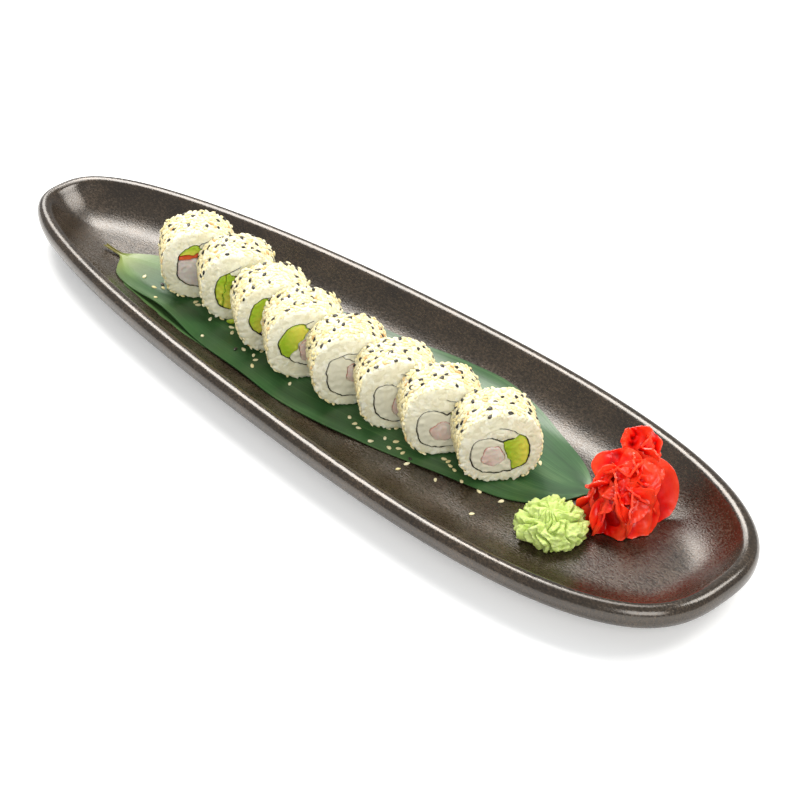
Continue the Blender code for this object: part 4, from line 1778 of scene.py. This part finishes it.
    def strew(self, rice: bpy.types.Object, sesame: Sesame, dice: random.Random) -> None:
        """Rolls the outside in sesame: dense, but thinner by the front edge on top, with black above.

        Args:
            rice: the finished rice.
            sesame: where the seeds are gathered.
            dice: the seeded source of chance.
        """
        _, height, thickness = self.size
        frame = self.frame()
        surface = surface_of(rice)
        taken: list[Vector] = []
        for k in range(self.seed_tries):
            black = k < self.black_seeds
            degrees = dice.uniform(*(self.black_arc if black else self.seed_arc))
            depth = dice.uniform(0.8, thickness - 0.8)
            bare = self.bare_arc[0] < degrees < self.bare_arc[1] and depth < self.bare_depth
            if bare and dice.random() < self.bare_share:
                continue
            bearing = math.radians(degrees)
            out = Vector((math.cos(bearing), math.sin(bearing), 0))
            centre = frame @ Vector((0, height / 2 * MM, -depth * MM))
            inward = -(frame.to_3x3() @ out)
            hit, normal, _, _ = surface.ray_cast(centre - inward * self.outside_reach, inward)
            if hit is None:
                continue
            apart = (self.black_apart if black else self.seeds_apart) * MM
            if any((hit - other).length < apart for other in taken):
                continue
            taken.append(hit)
            smooth = (-inward * 0.7 + normal * 0.3).normalized()
            kind = Seed.BLACK
            if not black:
                kind = Seed.TOASTED if dice.random() < self.toasted_share else Seed.PALE
            sesame.add(kind, hit, smooth, dice)


def make_rice_grain() -> bpy.types.Object:
    """One cooked grain: a plump bean, flattened on one side.

    Returns:
        The grain.
    """
    grain = add_shape("rice_grain", bpy.ops.mesh.primitive_uv_sphere_add, segments=10, ring_count=8, radius=1)

    def bean(ball: np.ndarray) -> np.ndarray:
        """Draws a ball out into the bent bean."""
        x, y, z = ball.T
        return np.stack([z * 2.6, x * 1.25 + 0.15 * z**2, y * 1.05], axis=1) * MM

    move_points(grain, bean)
    return grain


def rolls() -> list[CutRoll]:
    """The eight pieces, from the narrow end of the dish.

    Returns:
        The pieces in order.
    """
    return [
        CutRoll(
            1, (-116.7, -7.3), -1, (40.5, 41.0, 23.4), (1.0, 20.5, 13.0, 13.0), 10, 88, 0.30, 26, 0.28, True,
            (
                Filling("shrimp", PALE_SHRIMP, "shrimp", ((95, -FAR, 5.0),), 200),
                Filling("crab", CRAB, "crab", ((95, 5.0, 7.6),), 90),
                Filling("avocado", AVOCADO, "avocado", ((95, 7.6, FAR),), 90),
            ),
        ),
        CutRoll(
            2, (-85.7, -5.8), 0, (41.0, 40.0, 22.8), (0.5, 18.5, 13.5, 12.0), 0, 66, 0.30, 28, 0.20, True,
            (
                Filling("avocado_left", AVOCADO, "avocado", ((172, 8.6, FAR),), 90),
                Filling("avocado_right", AVOCADO, "avocado", ((172, 3.6, 8.6),), 90),
                Filling("crab", CRAB, "crab", ((172, -FAR, 3.6), (90, 2.0, FAR)), 0),
                Filling("shrimp", PALE_SHRIMP, "shrimp", ((172, -FAR, 3.6), (90, -FAR, 2.0)), 270),
            ),
        ),
        CutRoll(
            3, (-50.5, -11.2), 2, (41.0, 40.0, 24.0), (0.0, 20.3, 14.4, 11.6), 24, 74, 0.28, 24, 0.15, True,
            (
                Filling("avocado", AVOCADO, "avocado", ((147, 2.5, FAR),), 150),
                Filling("shrimp", PALE_SHRIMP, "shrimp", ((147, -FAR, 2.5),), 300),
            ),
        ),
        CutRoll(
            4, (-21.2, -16.1), -1, (41.5, 40.5, 23.8), (0.5, 20.5, 14.6, 11.8), 24, 88, 0.28, 16, 0.24, True,
            (
                Filling("avocado", AVOCADO, "avocado", ((147, 4.0, FAR),), 200),
                Filling("cream_cheese", CREAM, "cream_cheese", ((147, -FAR, 4.0),)),
            ),
            (2.0, -3.0, 6.6, 7.0),
        ),
        CutRoll(
            5, (12.5, -15.3), 0, (41.0, 40.5, 23.6), (0.0, 18.6, 13.2, 12.6), 0, 70, 0.34, 36, 0.05, True,
            (Filling("cream_cheese", CREAM, "cream_cheese"),),
            (2.0, 1.2, 5.4, 5.6),
        ),
        CutRoll(
            6, (43.8, -12.3), -1, (41.0, 40.0, 22.8), (0.0, 18.0, 13.2, 12.8), 0, 58, 0.42, 30, 0.18, False,
            (Filling("cream_cheese", CREAM, "cream_cheese"),),
            (1.6, -4.4, 5.8, 6.0),
        ),
        CutRoll(
            7, (74.6, -10.9), 0, (41.0, 40.0, 22.8), (0.0, 17.6, 14.4, 12.8), 0, 55, 0.50, 34, 0.20, False,
            (
                Filling("cream_cheese", CREAM, "cream_cheese", ((20, -FAR, 4.6),)),
                Filling("avocado", AVOCADO, "avocado", ((20, 4.6, FAR),), 180),
            ),
            (-1.6, -3.2, 5.8, 5.6),
        ),
        CutRoll(
            8, (108.6, -6.9), 0, (41.0, 39.6, 23.8), (-0.5, 17.3, 14.6, 11.6), 4, 48, 0.44, 44, 0.30, False,
            (
                Filling("cream_cheese", CREAM, "cream_cheese", ((15, -FAR, 3.2),)),
                Filling("avocado", AVOCADO, "avocado", ((15, 3.2, FAR),), 180),
            ),
            (-3.4, -1.6, 5.6, 5.8),
        ),
    ]


# Wasabi, ginger and the fallen crumb


@dataclass
class WasabiMound:
    """The pressed mound of wasabi, with deep folds that run out from its top."""

    place: Point = (152.0, -17.0)
    radius: float = 17.0
    height: float = 13.5
    base: float = 9.3
    petals: float = 4.5  # half the number of regular folds round the rim
    split_depth: float = 0.24  # depths as shares of the radius
    comb_depth: float = 0.07
    torn_depth: float = 0.17
    lump_depth: float = 0.10

    def shape(self, ball: np.ndarray) -> np.ndarray:
        """Swells and folds a ball into the mound: long folds, torn ridges on top, crumbs all over.

        Args:
            ball: points of a ball of radius 1.

        Returns:
            The places in metres.
        """
        rows = []
        for x, y, z in ball:
            spot = Vector((x, y, z))
            bearing, out = math.atan2(y, x), math.hypot(x, y)
            bearing += 0.5 * noise.noise(spot * 1.6 + Vector((4, 0, 0)))
            ray = Vector((2.6 * math.cos(bearing), 2.6 * math.sin(bearing), 1.9 * out - 0.8 * z))
            split = max(0.0, 1 - 4.5 * abs(noise.noise(ray)))
            comb = 1 - abs(math.sin(self.petals * bearing + 1.2 * z)) ** 0.5
            torn = max(0.0, 1 - 4.0 * abs(noise.noise(spot * 2.4 + Vector((0, 7, 0)))))
            lump = self.lump_depth * noise.noise(spot * 2.2)
            crumb = 0.07 * noise.noise(spot * 5.5)
            crumb += 0.035 * noise.noise(spot * 13)
            crumb += 0.015 * noise.noise(spot * 30)
            fold = self.split_depth * split * min(1.0, 1.4 * out)
            fold += self.comb_depth * comb * out
            fold += self.torn_depth * torn * (1.3 - out)
            swell = 1.07 + lump + crumb - fold
            height = (z + 0.45) / 1.45 * self.height * (1.07 + lump + crumb - 0.95 * fold)
            rows.append((x * self.radius * swell, y * self.radius * swell, max(height, 0.0)))
        return np.array(rows) * MM

    def build(self) -> None:
        """A fine ball, pressed into the mound and set on the dish."""
        mound = add_shape(
            "wasabi_mound", bpy.ops.mesh.primitive_uv_sphere_add, segments=240, ring_count=120, radius=1
        )
        move_points(mound, self.shape)
        settle(mound, Matrix.Translation(Vector((self.place[0], self.place[1], self.base)) * MM))
        tidy_normals(mound)
        shade(mound, 70)
        finish_piece(mound, WASABI, "wasabi", "wasabi")


@dataclass(frozen=True)
class Slice:
    """One thin slice of ginger: its place, turns, size, number of folds, their depth, and its curl."""

    place: tuple[float, float, float]
    turns: tuple[float, float, float]
    size: Point
    folds: float
    depth: float
    curl: float
    crumple: float = 1.0


@dataclass
class GingerHeap:
    """The heap of pickled ginger: crumpled cores with thin slices folded over them like rose petals."""

    dish: EggDish
    dice: random.Random
    cores: tuple = (((167.0, 14.0), 12.5, 24.0), ((166.0, 33.0), 8.5, 24.0))
    base: float = 9.3
    # Painted light of the cores: low, so they are painted dark as shade under the slices.
    core_light: float = 0.1
    slice_thickness: float = 0.9
    middle: Point = (168.0, 12.5)
    rings: tuple = (
        (6, 10.5, 18.0, 20, (22, 25)),
        (5, 7.5, 26.5, 34, (20, 20)),
        (3, 3.5, 33.5, 52, (18, 17)),
    )  # number of slices, radius, height, tilt and size of a slice
    slices: tuple[Slice, ...] = (
        Slice((175.5, 28.0, 24.0), (66, 0, 72), (25, 33), 0.5, 1.4, 0.25, 0.2),
        Slice((160.0, 35.0, 39.5), (48, 10, 40), (20, 16), 1.6, 3.4, 0.45),
        Slice((166.0, 34.0, 38.0), (60, 0, 130), (15, 14), 1.6, 3.0, 0.5),
        Slice((170.0, 27.0, 34.0), (40, 20, 70), (19, 18), 1.4, 3.0, 0.4),
        Slice((163.0, 18.5, 34.0), (38, -8, 20), (24, 21), 1.3, 3.0, 0.35, 0.6),
        Slice((171.5, 21.5, 30.0), (55, 0, 60), (20, 22), 1.3, 2.8, 0.35, 0.6),
    )

    def petals(self) -> list[Slice]:
        """The slices of the front clump, ring over ring.

        Returns:
            The slices in order.
        """
        laid = []
        for count, radius, height, tilt, size in self.rings:
            for k in range(count):
                bearing = 360 * (k + 0.5 * (tilt % 4) / 2) / count + self.dice.uniform(-16, 16)
                reach = radius + self.dice.uniform(-1.2, 1.2)
                x = self.middle[0] + reach * math.cos(math.radians(bearing))
                y = self.middle[1] + reach * math.sin(math.radians(bearing))
                lean = 90 - tilt + self.dice.uniform(-14, 14)
                place = (x, y, height + self.dice.uniform(-2, 2))
                grown = self.dice.uniform(0.85, 1.1)
                laid.append(
                    Slice(
                        place,
                        (lean, self.dice.uniform(-22, 22), bearing + 90 + self.dice.uniform(-15, 15)),
                        (size[0] * grown, size[1] * grown),
                        self.dice.uniform(1.0, 1.9),
                        self.dice.uniform(2.2, 3.6),
                        self.dice.uniform(0.15, 0.5),
                        0.5,
                    )
                )
        return laid

    def build(self) -> None:
        """Makes every core and slice and joins them."""
        pieces = [self.build_core(*core) for core in self.cores]
        pieces += [self.build_slice(piece, k) for k, piece in enumerate(self.slices + tuple(self.petals()))]
        join(pieces)
        heap = take("ginger_heap")
        shade(heap, 60)
        finish_piece(heap, GINGER, "ginger", "ginger")

    def build_core(self, place: Point, radius: float, top: float) -> bpy.types.Object:
        """A crumpled lump under the slices.

        Args:
            place: its middle.
            radius: its radius.
            top: its height.

        Returns:
            The lump in its place.
        """
        core = add_shape(
            "ginger_core", bpy.ops.mesh.primitive_uv_sphere_add, segments=64, ring_count=32, radius=1
        )

        def crumple(ball: np.ndarray) -> np.ndarray:
            """Folds a ball, flattens its foot and sets it on the dish.

            Args:
                ball: points of a ball of radius 1.

            Returns:
                The places in metres.
            """
            rows = []
            for x, y, z in ball:
                bearing = math.atan2(y, x)
                fold = 1 + 0.10 * math.sin(5 * bearing + 2 * z)
                fold += 0.08 * noise.noise(Vector((3 * x, 3 * y, 3 * z)))
                fold += 0.05 * noise.noise(Vector((7 * x, 7 * y, 7 * z)))
                height = max((z + 0.62) / 1.62 * top, 0.0)
                spot = (place[0] + x * radius * fold, place[1] + y * radius * fold)
                floor = self.dish.top(*spot) + GAP
                rows.append((*spot, max(height + self.base, floor)))
            return np.array(rows) * MM

        move_points(core, crumple)
        # The cores get a low painted light, a painted shade under the slices.
        self.mark_folds(core, np.full(len(core.data.vertices), self.core_light))
        return core

    def mark_folds(self, piece: bpy.types.Object, light: np.ndarray) -> None:
        """Keeps with each point its painted light and shade: how much light its fold would let through,
        painted into the colour.
        """
        layer = piece.data.attributes.new("fold", "FLOAT", "POINT")
        layer.data.foreach_set("value", np.clip(light, 0, 1).astype(np.float32))

    def build_slice(self, piece: Slice, number: int) -> bpy.types.Object:
        """A round slice with a torn rim, creased along its length, crumpled and curled at its sides.

        Args:
            piece: the slice's numbers.
            number: makes it unlike the others.

        Returns:
            The slice in its place.
        """
        made = add_shape(
            "ginger_slice", bpy.ops.mesh.primitive_grid_add, x_subdivisions=34, y_subdivisions=34, size=2
        )
        half_width, half_length = piece.size[0] / 2, piece.size[1] / 2
        # Painted light and shade of each point of the slice.
        light: list[float] = []

        def pleat(flat: np.ndarray) -> np.ndarray:
            """Rounds the grid, folds it and notes the painted light of each point: lighter on ridges and at
            the rim, darker in valleys.

            Args:
                flat: points of a square grid from -1 to 1.

            Returns:
                The places in metres.
            """
            rows = []
            for u, v, _ in flat:
                x, y = u * math.sqrt(1 - v * v / 2), v * math.sqrt(1 - u * u / 2)
                torn = 1 + 0.13 * piece.crumple * noise.noise(Vector((1.9 * x, 1.9 * y, 3.1 * number)))
                drift = 1.3 * noise.noise(Vector((1.3 * x, 1.3 * y, number + 0.5)))
                wave = math.asin(math.sin(piece.folds * math.pi * x + 0.7 * y + drift)) * 2 / math.pi
                ridge = 1 - 2.6 * abs(noise.noise(Vector((2.1 * x, 2.1 * y, number))))
                fine = noise.noise(Vector((5.0 * x, 5.0 * y, number)))
                height = piece.depth * wave * (0.7 + 0.3 * y)
                height += piece.curl * half_width * (x * x + 0.3 * y * y)
                height += piece.crumple * (1.3 * ridge + 0.2 * fine)
                rows.append((x * half_width * torn, y * half_length * torn, height))
                # Painted light and shade: crumple ridges and the rim lighter, valleys darker.
                thin = 0.3 * piece.crumple * (ridge - 0.4)
                light.append(0.42 + 0.32 * wave + thin + 0.4 * (x * x + y * y) ** 3)
            return np.array(rows) * MM

        move_points(made, pleat)
        self.mark_folds(made, np.array(light))
        thicken(made, self.slice_thickness, 0)
        turn = Euler([math.radians(t) for t in piece.turns]).to_matrix().to_4x4()
        settle(made, Matrix.Translation(Vector(piece.place) * MM) @ turn)
        move_points(made, self.clear_of_dish)
        return made

    def clear_of_dish(self, places: np.ndarray) -> np.ndarray:
        """Lifts the points that would sink into the dish.

        Args:
            places: in metres.

        Returns:
            The places in metres.
        """
        raised = places.copy()
        for row in raised:
            row[2] = max(row[2], (self.dish.top(row[0] / MM, row[1] / MM) + GAP) * MM)
        return raised


@dataclass
class AvocadoCrumb:
    """The bit of avocado that fell in front of the second piece."""

    place: Point = (-86.5, -11.5)
    size: tuple[float, float, float] = (3.0, 1.3, 1.3)
    bend: float = 0.8
    heading: float = 55.0
    tone: Point = (0.7, 0.3)  # its place in the filling's own map, away from the rim

    def build(self, leaf: BVHTree) -> None:
        """A small bent bean that lies on the leaf.

        Args:
            leaf: search tree of the leaf.
        """
        crumb = add_shape(
            "avocado_crumb", bpy.ops.mesh.primitive_uv_sphere_add, segments=24, ring_count=14, radius=1
        )
        length, width, height = self.size

        def bend(ball: np.ndarray) -> np.ndarray:
            """Draws a ball out and bends it."""
            x, y, z = ball.T
            return np.stack([x * length, y * width + self.bend * x**2, z * height], axis=1) * MM

        move_points(crumb, bend)
        x, y = self.place
        top, _, _, _ = drop_on(leaf, x, y)
        place = Vector((x * MM, y * MM, top.z + (GAP + height) * MM))
        layer = crumb.data.uv_layers.new(name="face")
        layer.data.foreach_set("uv", np.tile(self.tone, len(crumb.data.loops)))
        settle(crumb, Matrix.Translation(place) @ Matrix.Rotation(math.radians(self.heading), 4, "Z"))
        shade(crumb, 60)
        finish_piece(crumb, AVOCADO, "avocado", "avocado_scrap")


# Setting, light and camera


@dataclass
class Setting:
    """The pale table, the soft studio light and the camera at the photograph's angle."""

    target: tuple[float, float, float] = (41.7, -10.34, 26.0)
    distance: float = 1200.0
    elevation: float = 36.0
    azimuth: float = 46.07
    lens: float = 108.0
    lights: tuple = (
        ("key_light", (0.8, 1.0, 1.6), 0.8, 18),
        ("back_light", (-1.17, 0.47, 1.52), 0.95, 33),
        ("top_light", (-0.55, 0.5, 1.8), 0.8, 10),
        ("front_light", (1.3, -1.0, 1.0), 1.0, 18),
        ("side_light", (-1.9, 0.65, 1.0), 0.7, 9),
    )  # title, place and size in metres, and watts

    def build(self) -> None:
        """Makes the table, the lights and the camera."""
        self.build_table()
        for light in self.lights:
            self.build_light(*light)
        world = bpy.data.worlds.new("soft_room")
        bpy.context.scene.world = world
        world.use_nodes = True
        background = world.node_tree.nodes["Background"]
        set_node(world.node_tree, background, {"Color": (0.91, 0.96, 1.0, 1), "Strength": 0.48})
        bpy.context.scene.view_settings.view_transform = "Standard"
        self.build_camera()

    def build_table(self) -> None:
        """A plain white table, wide enough to fill the view."""
        table = add_shape("table", bpy.ops.mesh.primitive_plane_add, size=12)
        white = bpy.data.materials.new("white_table")
        white.use_nodes = True
        look = {"Base Color": linear("f7f7f7"), "Roughness": 0.8}
        glow = {"Emission Color": (1, 1, 1, 1), "Emission Strength": 0.25}
        set_node(white.node_tree, white.node_tree.nodes["Principled BSDF"], {**look, **glow})
        table.data.materials.append(white)

    def build_light(self, title: str, place: tuple, size: float, power: float) -> None:
        """One soft box, aimed at the middle of the dish and a little warmer than the room.

        Args:
            title: its name.
            place: in metres.
            size: side of the box in metres.
            power: in watts.
        """
        lamp = bpy.data.lights.new(title, "AREA")
        lamp.shape = "SQUARE"
        lamp.size = size
        lamp.energy = power
        lamp.color = (1.0, 0.98, 0.94)
        holder = bpy.data.objects.new(title, lamp)
        bpy.context.scene.collection.objects.link(holder)
        holder.location = place
        holder.rotation_euler = (-Vector(place)).to_track_quat("-Z", "Y").to_euler()

    def build_camera(self) -> None:
        """The camera that the photograph was fitted to."""
        a, e = math.radians(self.azimuth), math.radians(self.elevation)
        back = Vector((math.sin(a) * math.cos(e), -math.cos(a) * math.cos(e), math.sin(e)))
        lens = bpy.data.cameras.new("camera")
        lens.lens = self.lens
        lens.sensor_width = 36.0
        lens.clip_start = 0.05
        lens.clip_end = 20.0
        camera = bpy.data.objects.new("camera", lens)
        bpy.context.scene.collection.objects.link(camera)
        camera.location = (Vector(self.target) + back * self.distance) * MM
        camera.rotation_euler = (-back).to_track_quat("-Z", "Y").to_euler()
        bpy.context.scene.camera = camera


LOOSE_PALE: tuple[Point, ...] = (
    (-155, -16), (-143, -19), (-139, -16), (-132, -27), (-116, -12), (-113, -13), (-98, -17), (-88, -31),
    (-84, -14), (-80, -17), (-64, -23), (-56, -17), (-56, -23), (-52, -25), (-49, -30), (-24, -26), (19, -24),
    (25, -26), (29, -27), (41, -30), (44, -23), (50, -21), (51, -27), (55, -24), (59, -25), (66, -29),
    (66, -35), (39, -16), (42, -13), (77, -14), (80, -14), (83, -16), (87, -17), (85, -28), (96, -21),
    (106, -19), (119, -17), (116, -34), (112, 18),
)
LOOSE_BLACK: tuple[Point, ...] = ((-142, -14), (-67, -26), (65, -26), (85, -24))


def drop_loose_seeds(sesame: Sesame, ground: Sequence[BVHTree], dice: random.Random) -> None:
    """Lays the fallen seeds on whatever is under them.

    Args:
        sesame: where the seeds are gathered.
        ground: search trees of the leaf and the dish, the leaf first.
        dice: the seeded source of chance.
    """
    for kind, spots in ((Seed.PALE, LOOSE_PALE), (Seed.BLACK, LOOSE_BLACK)):
        for x, y in spots:
            hits = [drop_on(surface, x, y) for surface in ground]
            found = [hit for hit in hits if hit[0] is not None]
            place, normal, _, _ = max(found, key=lambda hit: hit[0].z)
            if place.z < LOW_GROUND:
                sesame.add(kind, place, normal, dice)


def main() -> None:
    """Builds the set in order."""
    logging.basicConfig(level=logging.INFO, format="%(message)s")
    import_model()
    dice = random.Random(ROLL_CHANCE)
    Setting().build()
    dish = EggDish()
    dish_piece = dish.build()
    leaf_piece = BambooLeaf(dish).build()
    ground = [surface_of(leaf_piece), surface_of(dish_piece)]
    sesame = Sesame()
    grain = make_rice_grain()
    for roll in rolls():
        roll.build(sesame, grain, dice)
    bpy.data.objects.remove(grain)
    drop_loose_seeds(sesame, ground, dice)
    sesame.build()
    WasabiMound().build()
    GingerHeap(dish, random.Random(GINGER_CHANCE)).build()
    AvocadoCrumb().build(ground[0])


if __name__ == "__main__":
    main()
